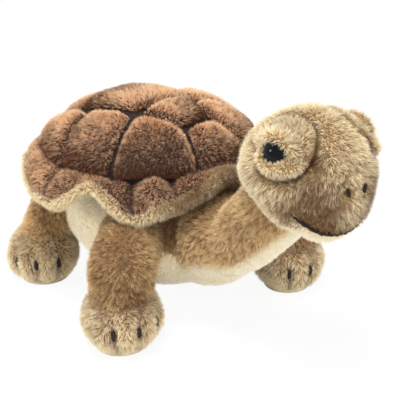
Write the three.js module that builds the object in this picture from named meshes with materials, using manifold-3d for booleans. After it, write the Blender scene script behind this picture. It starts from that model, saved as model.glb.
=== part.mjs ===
// A stuffed plush tortoise in millimetres: +Z is up, it faces -Y and stands on the floor at Z 0.

import * as THREE from 'three';
import { mergeVertices } from 'three/addons/utils/BufferGeometryUtils.js';
import Module from 'manifold-3d';

const wasm = await Module();
wasm.setup();

// Fabric and sewing
const coverThickness = 3;
const seamGap = 0.4;
const jointGap = 0.8;

// Body: the stuffed trunk that the shell, the neck and the legs are sewn to
const bodyHalfWidth = 68;
const bodyHalfLength = 82;
const bodySetBack = 4;
const bodyHalfHeight = 50;
const bellyClearance = 12;
const bellySeamRadius = 112;
const bellySeamShare = 1.5;
const bodySquareShare = 0.86;

// Shell: a domed cushion that laps over the body; its scutes are sewn on with a slight twist
const shellSideLap = 11;
const shellEndLap = 1;
const shellHalfWidth = bodyHalfWidth + shellSideLap;
const shellHalfLength = bodyHalfLength + shellEndLap;
const shellRise = 43;
const shellSetBack = 18;
const shellTwistAngle = THREE.MathUtils.degToRad(10);

// Scutes: twelve quilted pads parted by dark stitched channels
const scuteSeatGap = 0.7;
const scuteEdgeThickness = 2.2;
const scuteCrownThickness = 8;
const channelWidth = 3;
const scuteCornerShare = 0.1;
const scuteCells = 5;

// Rim: the soft wavy border round the shell, brown above and tan below
const rimReach = 17;
const rimThickness = 5;
const rimRollHeight = 6;
const liningThickness = 5;
const liningBeadHeight = 5;
const rimSpread = 4;
const liningInset = 6;
const rimWaveHeight = 18;

// Neck and head: the neck rises forwards from the chest to a hollow end that the head turns in
const neckBallRadius = 30;
const neckHalfHeight = 23;
const neckWaistShare = 0.95;
const neckRun = 62;
const neckRise = 48;
const neckBallSinkShare = 0.04;
const headRadius = 43;
const headForward = 25;
const headLift = 29;
const neckOpeningRadius = 13;
const throatHalfWidth = 16;
const throatHalfHeight = 12;

// Eyes: glossy domes on stems, each held inside the head by a washer
const eyeRadius = 7.2;
const eyeBulge = 5.6;
const eyeStemRadius = 2.2;
const eyeStemLength = 13;
const washerRadius = 9;
const washerThickness = 1.8;
const washerDepth = 1.5;
const stemPlay = 0.35;

// Brows and lower lids: padded rolls round the eyes
const browWidth = 28;
const browThickness = 6.5;
const lidWidth = 12;
const lidThickness = 4.2;
const padEdgeThickness = 1.2;

// Legs, feet and soles
const hipBallRadius = 23.5;
const ankleRadius = 21.5;
const footHalfWidth = 28.5;
const footHalfLength = 27;
const footHeight = 42;
const soleThickness = 3;
const footCrownShare = 0.56;
const footSquareShare = 0.92;
const soleShare = 0.66;
const stanceHalfWidth = 77;
const frontStance = 63;
const hindStance = 63;
const kneeOffset = 2;
const legSwingAngle = THREE.MathUtils.degToRad(12);

// Tail
const tailBallRadius = 10;
const tailTipRadius = 4;
const tailLength = 26;

// Stitches: claws sewn on the feet, the mouth's thread and the nostrils
const clawHalfWidth = 1.5;
const clawHalfDepth = 2;
const clawHalfLength = 6;
const mouthThreadRadius = 1.3;
const nostrilHalfWidth = 1.7;
const nostrilHalfLength = 3.4;

// Heights of the shell's base, the hips and the roots of the neck and tail, as shares of the body's height
const shellSeatShare = 0.91;
const hipHeightShare = 0.5;
const neckHeightShare = 0.54;
const tailHeightShare = 0.52;
const tailSinkShare = 0.1;
const hipWidthShare = 1.1;

// Corners of the scutes on the dome: share of the way from its top to its edge, sideways and lengthways
const scuteMapShares = {
  vertebral_1: [[-0.12, -0.42], [0.12, -0.42], [0.3, -0.9], [-0.3, -0.9]],
  vertebral_2: [[-0.22, -0.12], [0.22, -0.12], [0.12, -0.42], [-0.12, -0.42]],
  vertebral_3: [[-0.31, 0.4], [0.31, 0.4], [0.22, -0.12], [-0.22, -0.12]],
  vertebral_4: [[-0.27, 0.91], [0.27, 0.91], [0.31, 0.4], [-0.31, 0.4]],
};
const costalMapShares = {
  costal_1: [[0.12, -0.42], [0.22, -0.12], [0.85, -0.415], [0.3, -0.9]],
  costal_2: [[0.22, -0.12], [0.32, 0.17], [0.95, 0.04], [0.85, -0.415]],
  costal_3: [[0.32, 0.17], [0.31, 0.4], [0.785, 0.54], [0.95, 0.04]],
  costal_4: [[0.31, 0.4], [0.27, 0.91], [0.56, 0.77], [0.785, 0.54]],
};

// Rim from front to back: angle as a share of a quarter turn, then the shares of lift, reach, roll and bead
const rimWaveShares = [
  [-1, 0.9, 0.75, 0.8, 0.8],
  [-0.85, 0.35, 0.9, 1, 1],
  [-0.72, -0.05, 1, 0.35, 1],
  [-0.65, -0.3, 1.1, 0.7, 1],
  [-0.57, -0.56, 1.1, 0.1, 0.9],
  [-0.35, 0.4, 0.8, 0.5, 0],
  [-0.14, -0.6, 1.05, 0.8, 0.3],
  [0.03, -0.5, 1.05, 0.2, 0.3],
  [0.16, -0.25, 0.95, 0.8, 0.4],
  [0.3, 0.1, 0.8, 0.25, 0.4],
  [0.5, -0.6, 1.1, 0.8, 0.6],
  [0.66, -0.25, 1, 0.25, 0.6],
  [0.82, 0, 0.9, 0.8, 0.6],
  [1, -0.2, 1, 0.3, 0.6],
];

// Section of the rim: way out, share of its thickness and share of its roll
const rimSectionShares = [
  [0, 0, 0],
  [0.43, 0, 0],
  [0.86, 0, 0],
  [1, 0.45, 0],
  [0.9, 0.85, 0.2],
  [0.7, 1, 0.75],
  [0.42, 1, 1],
  [0.18, 1, 0.75],
  [0, 0.7, 0.2],
];

// Section of the lining: way out, and the shares of the rim's thickness, its own thickness and its bead
const liningSectionShares = [
  [-1, 0, 0, 0],
  [0, 0, 0, 0],
  [0.43, 0, 0, 0],
  [0.86, 0, 0, 0],
  [1.06, 0.6, 0, 0],
  [1.2, 0.4, 0, 0],
  [1.3, 0, 0.4, 0.3],
  [1.2, 0, 0.9, 0.8],
  [0.98, 0, 1, 1],
  [0.7, 0, 1, 0.6],
  [0.43, 0, 1, 0],
  [0, 0, 1, 0],
  [-1, 0, 1, 0],
];

// How finely the round forms are divided
const domeColumns = 40;
const rimColumns = 64;
const domeRows = 6;
const bodyColumns = 20;
const bodyRows = 10;
const headColumns = 18;
const headRows = 12;
const ballColumns = 20;
const ballRows = 12;
const cupColumns = 28;
const cupRows = 18;
const legColumns = 16;
const legBallRows = 4;
const neckColumns = 24;
const neckBallRows = 5;
const tailColumns = 14;
const footRows = 8;
const drumColumns = 36;
const eyeColumns = 18;
const eyeDomeRows = 5;
const rollColumns = 12;
const rollRows = 5;
const stitchColumns = 6;
const stitchRows = 5;
const threadSteps = 16;

const colours = {
  brown: 0x7d5a45,
  dark: 0x3a3030,
  tan: 0xb98f60,
  head: 0xbfa678,
  cream: 0xe8dcb8,
  filling: 0xf4f2ec,
  black: 0x14161a,
  white: 0xe9e7e0,
};
const plushRoughness = 0.95;
const fillingRoughness = 1;
const plasticRoughness = 0.5;
const eyeRoughness = 0.15;

const tortoise = new THREE.Group();
tortoise.name = 'plush_tortoise';

function addPiece(name, geometry, colour, roughness) {
  const material = new THREE.MeshStandardMaterial({ color: colour, roughness, metalness: 0 });
  const mesh = new THREE.Mesh(geometry, material);
  mesh.name = name;
  tortoise.add(mesh);
}

// Closed geometry from points and triangles, turned right side out
function closedGeometry(points, triangles) {
  let volume = 0;
  for (const [a, b, c] of triangles) {
    const normal = new THREE.Vector3().crossVectors(points[b], points[c]);
    volume += points[a].dot(normal);
  }
  const index = [];
  for (const [a, b, c] of triangles) {
    index.push(a, volume > 0 ? b : c, volume > 0 ? c : b);
  }
  const geometry = new THREE.BufferGeometry();
  const flat = points.flatMap((point) => point.toArray());
  geometry.setAttribute('position', new THREE.Float32BufferAttribute(flat, 3));
  geometry.setIndex(index);
  return geometry;
}

// A solid from rings of points, closed at both ends by a single point
function cappedRings(rings, firstPoint, lastPoint) {
  const count = rings[0].length;
  const points = [firstPoint, ...rings.flat(), lastPoint];
  const last = points.length - 1;
  const triangles = [];
  for (let k = 0; k < count; k += 1) {
    const next = (k + 1) % count;
    triangles.push([0, 1 + next, 1 + k]);
    triangles.push([last, last - count + k, last - count + next]);
    for (let row = 0; row + 1 < rings.length; row += 1) {
      const low = 1 + row * count;
      const high = low + count;
      triangles.push([low + k, low + next, high + k]);
      triangles.push([low + next, high + next, high + k]);
    }
  }
  return closedGeometry(points, triangles);
}

// A solid from rings of points that meets its own start, like a hoop
function hoopRings(rings) {
  const count = rings[0].length;
  const points = rings.flat();
  const triangles = [];
  for (let row = 0; row < rings.length; row += 1) {
    const low = row * count;
    const high = ((row + 1) % rings.length) * count;
    for (let k = 0; k < count; k += 1) {
      const next = (k + 1) % count;
      triangles.push([low + k, low + next, high + k]);
      triangles.push([low + next, high + next, high + k]);
    }
  }
  return closedGeometry(points, triangles);
}

// A pad between a lower and an upper skin; pointAt takes two shares from -1 to 1 and 0 or 1 for the skin
function padGeometry(columns, rows, pointAt) {
  const points = [];
  const place = [];
  for (let skin = 0; skin < 2; skin += 1) {
    for (let row = 0; row <= rows; row += 1) {
      for (let column = 0; column <= columns; column += 1) {
        place.push(points.length);
        points.push(pointAt((2 * column) / columns - 1, (2 * row) / rows - 1, skin));
      }
    }
  }
  const at = (column, row, skin) => place[(skin * (rows + 1) + row) * (columns + 1) + column];
  const triangles = [];
  const addQuad = (a, b, c, d) => triangles.push([a, b, c], [a, c, d]);
  for (let row = 0; row < rows; row += 1) {
    for (let column = 0; column < columns; column += 1) {
      const corners = [[column, row], [column + 1, row], [column + 1, row + 1], [column, row + 1]];
      addQuad(...corners.map(([c, r]) => at(c, r, 1)));
      addQuad(...corners.map(([c, r]) => at(c, r, 0)).reverse());
    }
  }
  for (let column = 0; column < columns; column += 1) {
    addQuad(at(column, 0, 0), at(column + 1, 0, 0), at(column + 1, 0, 1), at(column, 0, 1));
    addQuad(
      at(column + 1, rows, 0),
      at(column, rows, 0),
      at(column, rows, 1),
      at(column + 1, rows, 1),
    );
  }
  for (let row = 0; row < rows; row += 1) {
    addQuad(at(0, row + 1, 0), at(0, row, 0), at(0, row, 1), at(0, row + 1, 1));
    addQuad(
      at(columns, row, 0),
      at(columns, row + 1, 0),
      at(columns, row + 1, 1),
      at(columns, row, 1),
    );
  }
  return closedGeometry(points, triangles);
}

// Joining and cutting
function toSolid(geometry) {
  const plain = geometry.clone();
  plain.deleteAttribute('normal');
  plain.deleteAttribute('uv');
  const merged = mergeVertices(plain);
  return new wasm.Manifold(new wasm.Mesh({
    numProp: 3,
    vertProperties: new Float32Array(merged.attributes.position.array),
    triVerts: new Uint32Array(merged.index.array),
  }));
}

function toGeometry(solid) {
  const mesh = solid.getMesh();
  const geometry = new THREE.BufferGeometry();
  const positions = new Float32Array(mesh.vertProperties);
  geometry.setAttribute('position', new THREE.BufferAttribute(positions, 3));
  geometry.setIndex(new THREE.BufferAttribute(new Uint32Array(mesh.triVerts), 1));
  return geometry;
}

function cutBy(geometry, tools) {
  let solid = toSolid(geometry);
  for (const tool of tools) {
    solid = solid.subtract(toSolid(tool));
  }
  return toGeometry(solid);
}

function sharedBy(first, second) {
  return toGeometry(toSolid(first).intersect(toSolid(second)));
}

// A rounded lump: half sizes, and a share below 1 that squares it off
function lumpGeometry(centre, halfSizes, squareShare, columns, rows) {
  const soften = (value) => Math.sign(value) * Math.abs(value) ** squareShare;
  const pointAt = (polar, turn) => new THREE.Vector3(
    centre.x + halfSizes.x * soften(Math.sin(polar)) * soften(Math.cos(turn)),
    centre.y + halfSizes.y * soften(Math.sin(polar)) * soften(Math.sin(turn)),
    centre.z + halfSizes.z * soften(Math.cos(polar)),
  );
  const rings = [];
  for (let row = 1; row < rows; row += 1) {
    const ring = [];
    for (let k = 0; k < columns; k += 1) {
      ring.push(pointAt((Math.PI * row) / rows, (2 * Math.PI * k) / columns));
    }
    rings.push(ring);
  }
  return cappedRings(rings, pointAt(0, 0), pointAt(Math.PI, 0));
}

function ballGeometry(centre, radius, columns, rows) {
  const ball = new THREE.SphereGeometry(radius, columns, rows);
  ball.translate(centre.x, centre.y, centre.z);
  return ball;
}

// A limb that starts as a ball and runs through stations, each with a centre and two half sizes
function limbGeometry(stations, columns, ballRows) {
  const path = new THREE.CatmullRomCurve3(stations.map((station) => station.centre));
  const sideways = new THREE.Vector3(1, 0, 0);
  const rings = [];
  const addRing = (centre, along, halfWidth, halfHeight) => {
    const upward = new THREE.Vector3().crossVectors(sideways, along).normalize();
    const across = new THREE.Vector3().crossVectors(along, upward).normalize();
    const ring = [];
    for (let k = 0; k < columns; k += 1) {
      const turn = (2 * Math.PI * k) / columns;
      const point = centre.clone();
      point.addScaledVector(across, halfWidth * Math.cos(turn));
      point.addScaledVector(upward, halfHeight * Math.sin(turn));
      ring.push(point);
    }
    rings.push(ring);
  };
  const first = stations[0];
  const start = path.getTangent(0);
  for (let row = 1; row <= ballRows; row += 1) {
    const angle = (Math.PI * row) / (2 * ballRows);
    const centre = first.centre.clone().addScaledVector(start, -first.halfWidth * Math.cos(angle));
    addRing(centre, start, first.halfWidth * Math.sin(angle), first.halfWidth * Math.sin(angle));
  }
  for (let k = 1; k < stations.length; k += 1) {
    const along = path.getTangent(k / (stations.length - 1));
    addRing(stations[k].centre, along, stations[k].halfWidth, stations[k].halfHeight);
  }
  const firstPoint = first.centre.clone().addScaledVector(start, -first.halfWidth);
  const lastPoint = stations[stations.length - 1].centre.clone();
  return cappedRings(rings, firstPoint, lastPoint);
}

const bodyCentre = new THREE.Vector3(0, bodySetBack, bellyClearance + bodyHalfHeight);
const bodyHeight = 2 * bodyHalfHeight;
const shellCentre = new THREE.Vector3(0, shellSetBack, bellyClearance + bodyHeight * shellSeatShare);

// Point on the dome from its map shares, raised by a lift off its surface
function domePoint(sideShare, lengthShare, lift) {
  const reach = Math.hypot(sideShare, lengthShare);
  const fall = (reach * Math.PI) / 2;
  const sideTurn = reach > 0 ? sideShare / reach : 0;
  const lengthTurn = reach > 0 ? lengthShare / reach : 0;
  const unit = new THREE.Vector3(
    Math.sin(fall) * sideTurn,
    Math.sin(fall) * lengthTurn,
    Math.cos(fall),
  );
  const normal = new THREE.Vector3(
    unit.x / shellHalfWidth,
    unit.y / shellHalfLength,
    unit.z / shellRise,
  ).normalize();
  return new THREE.Vector3(
    shellCentre.x + shellHalfWidth * unit.x,
    shellCentre.y + shellHalfLength * unit.y,
    shellCentre.z + shellRise * unit.z,
  ).addScaledVector(normal, lift);
}

// The dome grown by a lift on every side
function domeForm(lift) {
  const rings = [];
  for (let row = 1; row <= domeRows; row += 1) {
    const ring = [];
    for (let k = 0; k < domeColumns; k += 1) {
      const turn = (2 * Math.PI * k) / domeColumns;
      const share = row / domeRows;
      ring.push(domePoint(share * Math.cos(turn), share * Math.sin(turn), lift));
    }
    rings.push(ring);
  }
  if (lift > 0) {
    rings.push(rings[domeRows - 1].map((point) => point.clone().setZ(shellCentre.z - lift)));
  }
  const underside = shellCentre.clone().setZ(shellCentre.z - lift);
  return cappedRings(rings, domePoint(0, 0, lift), underside);
}

// A scute between the corners of its place on the dome, grown where it makes room for itself
function scutePad(corners, growth) {
  const meanRadius = (shellHalfWidth + shellHalfLength) / 2;
  const middle = [0, 1].map((axis) => corners.reduce((sum, corner) => sum + corner[axis], 0) / 4);
  const size = Math.hypot(corners[0][0] - corners[2][0], corners[0][1] - corners[2][1]) / 2;
  const shrink = 1 - (channelWidth - 2 * growth) / (meanRadius * Math.PI * size / 2);
  const pointAt = (s, t, skin) => {
    const sideways = s * Math.sqrt(1 - scuteCornerShare * t * t);
    const lengthways = t * Math.sqrt(1 - scuteCornerShare * s * s);
    const weights = [
      (1 - sideways) * (1 - lengthways) / 4,
      (1 + sideways) * (1 - lengthways) / 4,
      (1 + sideways) * (1 + lengthways) / 4,
      (1 - sideways) * (1 + lengthways) / 4,
    ];
    const [side, length] = [0, 1].map((axis) => {
      const value = corners.reduce((sum, corner, k) => sum + weights[k] * corner[axis], 0);
      return middle[axis] + shrink * (value - middle[axis]);
    });
    const crown = Math.sqrt((1 - s ** 4) * (1 - t ** 4));
    const swell = scuteEdgeThickness + (scuteCrownThickness - scuteEdgeThickness) * crown;
    return domePoint(
      side * Math.cos(shellTwistAngle) - length * Math.sin(shellTwistAngle),
      side * Math.sin(shellTwistAngle) + length * Math.cos(shellTwistAngle),
      skin ? swell + scuteSeatGap + growth : scuteSeatGap - growth,
    );
  };
  return padGeometry(scuteCells, scuteCells, pointAt);
}

// A column of the rim's table at a turn about the shell's middle, 0 at its left side
function rimWave(turn, column) {
  const angleShare = Math.asin(Math.sin(turn)) / (Math.PI / 2);
  let k = 0;
  while (k + 2 < rimWaveShares.length && rimWaveShares[k + 1][0] < angleShare) {
    k += 1;
  }
  const [from, to] = [rimWaveShares[k], rimWaveShares[k + 1]];
  const share = THREE.MathUtils.clamp((angleShare - from[0]) / (to[0] - from[0]), 0, 1);
  return from[column] + (to[column] - from[column]) * THREE.MathUtils.smoothstep(share, 0, 1);
}

// The rim's middle line leaves the foot of the dome level and flares out to the wavy edge
function rimLine(turn) {
  const outward = new THREE.Vector3(
    Math.cos(turn) / shellHalfWidth,
    Math.sin(turn) / shellHalfLength,
    0,
  ).normalize();
  const root = domePoint(Math.cos(turn), Math.sin(turn), scuteSeatGap);
  const bend = root.clone().addScaledVector(outward, rimSpread);
  const edge = root.clone().addScaledVector(outward, rimReach * rimWave(turn, 2));
  edge.z += rimWaveHeight * rimWave(turn, 1);
  return { outward, root, curve: new THREE.QuadraticBezierCurve3(root, bend, edge) };
}

const rimSlopeStep = Math.PI / rimColumns / 2;

// A point of the rim: its share of the way out is below 0 under the dome, 0 at the root and 1 at the edge
function rimPoint(turn, acrossShare, rise) {
  const { outward, root, curve } = rimLine(turn);
  if (acrossShare < 0) {
    const inside = root.clone().addScaledVector(outward, acrossShare * liningInset);
    return inside.setZ(root.z + rise);
  }
  const onLine = Math.min(acrossShare, 1);
  const along = curve.getTangent(onLine);
  const around = rimLine(turn + rimSlopeStep).curve.getPoint(onLine);
  around.sub(rimLine(turn - rimSlopeStep).curve.getPoint(onLine));
  const normal = new THREE.Vector3().crossVectors(along, around).normalize();
  const point = curve.getPoint(onLine);
  const overhang = rimReach * (acrossShare - onLine);
  return point.addScaledVector(along, overhang).addScaledVector(normal, rise);
}

// A hoop round the shell from a function that gives its section, ways out and rises, at each turn
function rimHoop(sectionAt) {
  const rings = [];
  for (let k = 0; k < rimColumns; k += 1) {
    const turn = (2 * Math.PI * k) / rimColumns;
    rings.push(sectionAt(turn).map(([acrossShare, rise]) => rimPoint(turn, acrossShare, rise)));
  }
  return hoopRings(rings);
}

// The brown upper side, gathered into rolls against the scutes
function rimForm(growth) {
  return rimHoop((turn) => {
    const roll = rimRollHeight * rimWave(turn, 3);
    return rimSectionShares.map(([acrossShare, thicknessShare, rollShare]) => {
      const rise = rimThickness * thicknessShare + roll * rollShare;
      if (acrossShare === 1) {
        return [acrossShare + 2 * growth / rimReach, rise];
      }
      return [acrossShare, thicknessShare > 0 ? rise + growth : -growth];
    });
  });
}

// The tan lining below it, with a bead that laps the rim's edge
function liningForm() {
  return rimHoop((turn) => {
    const bead = liningBeadHeight * rimWave(turn, 4);
    return liningSectionShares.map(([acrossShare, rimShare, liningShare, beadShare]) => [
      acrossShare,
      rimThickness * rimShare - liningThickness * liningShare - bead * beadShare - seamGap,
    ]);
  });
}

const cushion = domeForm(0);
addPiece('shell_cushion', cushion, colours.dark, plushRoughness);
const scutePlaces = Object.entries(scuteMapShares).map(([name, corners]) => [`scute_${name}`, corners]);
for (const [name, corners] of Object.entries(costalMapShares)) {
  const mirrored = corners.map(([sideShare, lengthShare]) => [-sideShare, lengthShare]);
  scutePlaces.push([`scute_${name}_left`, corners], [`scute_${name}_right`, mirrored]);
}
for (const [name, corners] of scutePlaces) {
  addPiece(name, scutePad(corners, 0), colours.brown, plushRoughness);
}
const cushionRoom = domeForm(seamGap);
const scuteRooms = scutePlaces.map(([, corners]) => scutePad(corners, seamGap));
const rimUpper = cutBy(rimForm(0), [cushionRoom, ...scuteRooms]);
addPiece('shell_rim', rimUpper, colours.brown, plushRoughness);

// Body, with the sockets in which the neck, the legs and the tail are sewn, and the rim's lining above it
const hipHeight = bellyClearance + bodyHeight * hipHeightShare;
const neckRoot = new THREE.Vector3(
  0,
  bodySetBack - bodyHalfLength * (1 - neckBallSinkShare),
  bellyClearance + bodyHeight * neckHeightShare,
);
const tailRoot = new THREE.Vector3(
  0,
  bodySetBack + bodyHalfLength - tailBallRadius * tailSinkShare,
  bellyClearance + bodyHeight * tailHeightShare,
);
const hips = {
  front_left: new THREE.Vector3(bodyHalfWidth * hipWidthShare, -frontStance, hipHeight),
  front_right: new THREE.Vector3(-bodyHalfWidth * hipWidthShare, -frontStance, hipHeight),
  hind_left: new THREE.Vector3(bodyHalfWidth * hipWidthShare, hindStance, hipHeight),
  hind_right: new THREE.Vector3(-bodyHalfWidth * hipWidthShare, hindStance, hipHeight),
};

// Legs: a hip ball, a column and a foot on a flat sole; the hind feet turn further outwards
const splay = { front: THREE.MathUtils.degToRad(2), hind: THREE.MathUtils.degToRad(39) };
const footRise = soleThickness + seamGap;

function footCentreOf(hip) {
  return new THREE.Vector3(Math.sign(hip.x) * stanceHalfWidth, hip.y, footRise + footHeight / 2);
}

function legForm(hip, growth) {
  const footCentre = footCentreOf(hip);
  const knee = hip.clone().lerp(footCentre, 1 / 2);
  knee.x += Math.sign(hip.x) * kneeOffset;
  const kneeRadius = (hipBallRadius + ankleRadius) / 2;
  const stations = [[hip, hipBallRadius], [knee, kneeRadius], [footCentre, ankleRadius]];
  return limbGeometry(stations.map(([centre, radius]) => ({
    centre,
    halfWidth: radius + growth,
    halfHeight: radius + growth,
  })), legColumns, legBallRows);
}

// Room that a leg needs as it stands, and as it swings under the body about its hip
function legRooms(hip) {
  return [0, -Math.sign(hip.y) * legSwingAngle].map((angle) => {
    const form = legForm(hip, jointGap);
    form.translate(-hip.x, -hip.y, -hip.z);
    form.rotateX(angle);
    return form.translate(hip.x, hip.y, hip.z);
  });
}

function footForm(centre, turn, growth) {
  const halfHeight = footHeight * footCrownShare;
  const lump = lumpGeometry(
    new THREE.Vector3(0, 0, footRise + footHeight - halfHeight),
    new THREE.Vector3(footHalfWidth + growth, footHalfLength + growth, halfHeight + growth),
    footSquareShare,
    legColumns,
    footRows,
  );
  const position = lump.attributes.position;
  for (let k = 0; k < position.count; k += 1) {
    position.setZ(k, Math.max(position.getZ(k), footRise));
  }
  lump.rotateZ(turn);
  return lump.translate(centre.x, centre.y, 0);
}

function soleGeometry(centre, turn) {
  const outline = new THREE.Shape();
  outline.absellipse(0, 0, footHalfWidth * soleShare, footHalfLength * soleShare, 0, 2 * Math.PI);
  const sole = new THREE.ExtrudeGeometry(outline, {
    depth: soleThickness,
    bevelEnabled: false,
    curveSegments: legBallRows * 2,
  });
  sole.rotateZ(turn);
  return sole.translate(centre.x, centre.y, 0);
}

function bodyForm(inset) {
  const halfSizes = new THREE.Vector3(
    bodyHalfWidth - inset,
    bodyHalfLength - inset,
    bodyHalfHeight - inset,
  );
  return lumpGeometry(bodyCentre, halfSizes, bodySquareShare, bodyColumns, bodyRows);
}

function bellySide(extraRadius) {
  const drum = new THREE.CylinderGeometry(
    bellySeamRadius + extraRadius,
    bellySeamRadius + extraRadius,
    4 * bodyHalfWidth,
    drumColumns,
  );
  drum.rotateZ(Math.PI / 2);
  drum.translate(0, bodySetBack, bellyClearance + bodyHalfHeight * bellySeamShare - bellySeamRadius);
  return drum;
}

const sockets = [
  ballGeometry(neckRoot, neckBallRadius + jointGap, ballColumns, ballRows),
  ballGeometry(tailRoot, tailBallRadius + jointGap, ballColumns, ballRows),
  ...Object.values(hips).map((hip) => ballGeometry(hip, hipBallRadius + jointGap, ballColumns, ballRows)),
  ...Object.values(hips).flatMap(legRooms),
];
const liningRooms = [rimForm(seamGap), bodyForm(-seamGap), ...scuteRooms, ...sockets];
addPiece('shell_rim_lining', cutBy(liningForm(), liningRooms), colours.tan, plushRoughness);
const innerBody = bodyForm(coverThickness);
addPiece(
  'body_cover',
  cutBy(bodyForm(0), [bellySide(seamGap), innerBody, cushionRoom, ...sockets]),
  colours.tan,
  plushRoughness,
);
addPiece(
  'belly_panel',
  cutBy(sharedBy(bodyForm(0), bellySide(0)), [innerBody, cushionRoom, ...sockets]),
  colours.cream,
  plushRoughness,
);
addPiece(
  'body_filling',
  cutBy(bodyForm(coverThickness + seamGap), [cushionRoom, ...sockets]),
  colours.filling,
  fillingRoughness,
);

// Head: a rounded form with a blunt beak, on a sphere that turns in the neck's hollow end
const neckTop = new THREE.Vector3(0, neckRoot.y - neckRun, neckRoot.z + neckRise);
const headCentre = new THREE.Vector3(0, neckTop.y - headForward, neckTop.z + headLift);
const headBumps = [
  { towards: new THREE.Vector3(0, -0.8, -0.6), widthShare: 0.8, heightShare: 0.09 },
  { towards: new THREE.Vector3(0, -0.9, 0.45), widthShare: 0.6, heightShare: -0.04 },
];

function headSwell(direction) {
  let swell = 1;
  for (const bump of headBumps) {
    const away = direction.angleTo(bump.towards) / bump.widthShare;
    if (away < 1) {
      swell += bump.heightShare * (1 - away * away) ** 2;
    }
  }
  return swell;
}

function headForm(inset) {
  const pointAt = (polar, turn) => {
    const direction = new THREE.Vector3().setFromSphericalCoords(1, polar, turn);
    direction.applyAxisAngle(new THREE.Vector3(1, 0, 0), Math.PI / 2);
    const reach = headRadius * headSwell(direction) - inset;
    return headCentre.clone().addScaledVector(direction, reach);
  };
  const rings = [];
  for (let row = 1; row < headRows; row += 1) {
    const ring = [];
    for (let k = 0; k < headColumns; k += 1) {
      ring.push(pointAt((Math.PI * row) / headRows, (2 * Math.PI * k) / headColumns));
    }
    rings.push(ring);
  }
  return cappedRings(rings, pointAt(0, 0), pointAt(Math.PI, 0));
}

// Wedge that parts the lower jaw from the head, in the head's side view
const jawHingeShares = [-0.4, -0.25];
const jawFrontShares = [-1, -0.93];
const jawBackShares = [-0.05, -1.3];
const jawInnerShare = 0.24;

function jawWedge(growth) {
  const outline = [jawHingeShares, jawFrontShares, jawBackShares].map(([forwardShare, upShare]) => (
    new THREE.Vector2(forwardShare * headRadius, upShare * headRadius)
  ));
  const middle = new THREE.Vector2();
  outline.forEach((point) => middle.addScaledVector(point, 1 / outline.length));
  const scale = 1 + growth / (jawInnerShare * headRadius);
  const grown = outline.map((point) => point.clone().sub(middle).multiplyScalar(scale).add(middle));
  const wedge = new THREE.ExtrudeGeometry(new THREE.Shape(grown), {
    depth: 4 * headRadius,
    bevelEnabled: false,
  });
  wedge.translate(0, 0, -2 * headRadius);
  const basis = new THREE.Matrix4().makeBasis(
    new THREE.Vector3(0, 1, 0),
    new THREE.Vector3(0, 0, 1),
    new THREE.Vector3(1, 0, 0),
  );
  wedge.applyMatrix4(basis);
  wedge.translate(headCentre.x, headCentre.y, headCentre.z);
  return wedge;
}

// A long rounded stitch that lies half in the surface it is sewn to
function stitchForm(centre, halfSizes, basis) {
  const stitch = new THREE.SphereGeometry(1, stitchColumns, stitchRows);
  stitch.scale(halfSizes.x, halfSizes.y, halfSizes.z);
  stitch.applyMatrix4(basis);
  return stitch.translate(centre.x, centre.y, centre.z);
}

// The mouth's thread follows the seam between the head and the jaw from corner to corner
const mouthReachShare = 0.78;

function mouthPoint(sideShare) {
  const [hingeForward, hingeUp] = jawHingeShares;
  const forward = jawFrontShares[0] - hingeForward;
  const up = jawFrontShares[1] - hingeUp;
  const a = forward ** 2 + up ** 2;
  const b = hingeForward * forward + hingeUp * up;
  const c = hingeForward ** 2 + hingeUp ** 2 + sideShare ** 2 - 1;
  const share = (Math.sqrt(b * b - a * c) - b) / a;
  const direction = new THREE.Vector3(
    sideShare,
    hingeForward + share * forward,
    hingeUp + share * up,
  ).normalize();
  return headCentre.clone().addScaledVector(direction, headRadius * headSwell(direction));
}

function mouthForm() {
  const rings = [];
  for (let k = 0; k <= threadSteps; k += 1) {
    const sideShare = mouthReachShare * ((2 * k) / threadSteps - 1);
    const centre = mouthPoint(sideShare);
    const outward = centre.clone().sub(headCentre).normalize();
    const along = mouthPoint(sideShare + seamGap / headRadius).sub(centre).normalize();
    const across = new THREE.Vector3().crossVectors(along, outward).normalize();
    const ring = [];
    for (let side = 0; side < stitchColumns; side += 1) {
      const turn = (2 * Math.PI * side) / stitchColumns;
      const point = centre.clone().addScaledVector(outward, mouthThreadRadius * Math.cos(turn));
      ring.push(point.addScaledVector(across, mouthThreadRadius * Math.sin(turn)));
    }
    rings.push(ring);
  }
  return cappedRings(rings, mouthPoint(-mouthReachShare), mouthPoint(mouthReachShare));
}

const nostrilTowards = new THREE.Vector3(0.16, -0.985, 0.03).normalize();

function nostrilForm(side) {
  const outward = new THREE.Vector3(side * nostrilTowards.x, nostrilTowards.y, nostrilTowards.z);
  const above = new THREE.Vector3(0, 0, 1);
  const across = new THREE.Vector3().crossVectors(outward, above).normalize();
  const centre = headCentre.clone().addScaledVector(outward, headRadius * headSwell(outward));
  const halfSizes = new THREE.Vector3(nostrilHalfWidth, nostrilHalfWidth, nostrilHalfLength);
  return stitchForm(centre, halfSizes, new THREE.Matrix4().makeBasis(across, outward, above));
}

// Eyes: everything round an eye is turned about the eye's own axis
const eyeTowards = new THREE.Vector3(0.84, -0.17, 0.52).normalize();
const upwards = new THREE.Vector3(0, 0, 1);

function eyeFrame(side) {
  const outward = new THREE.Vector3(side * eyeTowards.x, eyeTowards.y, eyeTowards.z);
  const across = new THREE.Vector3().crossVectors(upwards, outward).normalize().multiplyScalar(side);
  const above = new THREE.Vector3().crossVectors(outward, across).normalize().multiplyScalar(side);
  return { outward, across, above };
}

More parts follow.
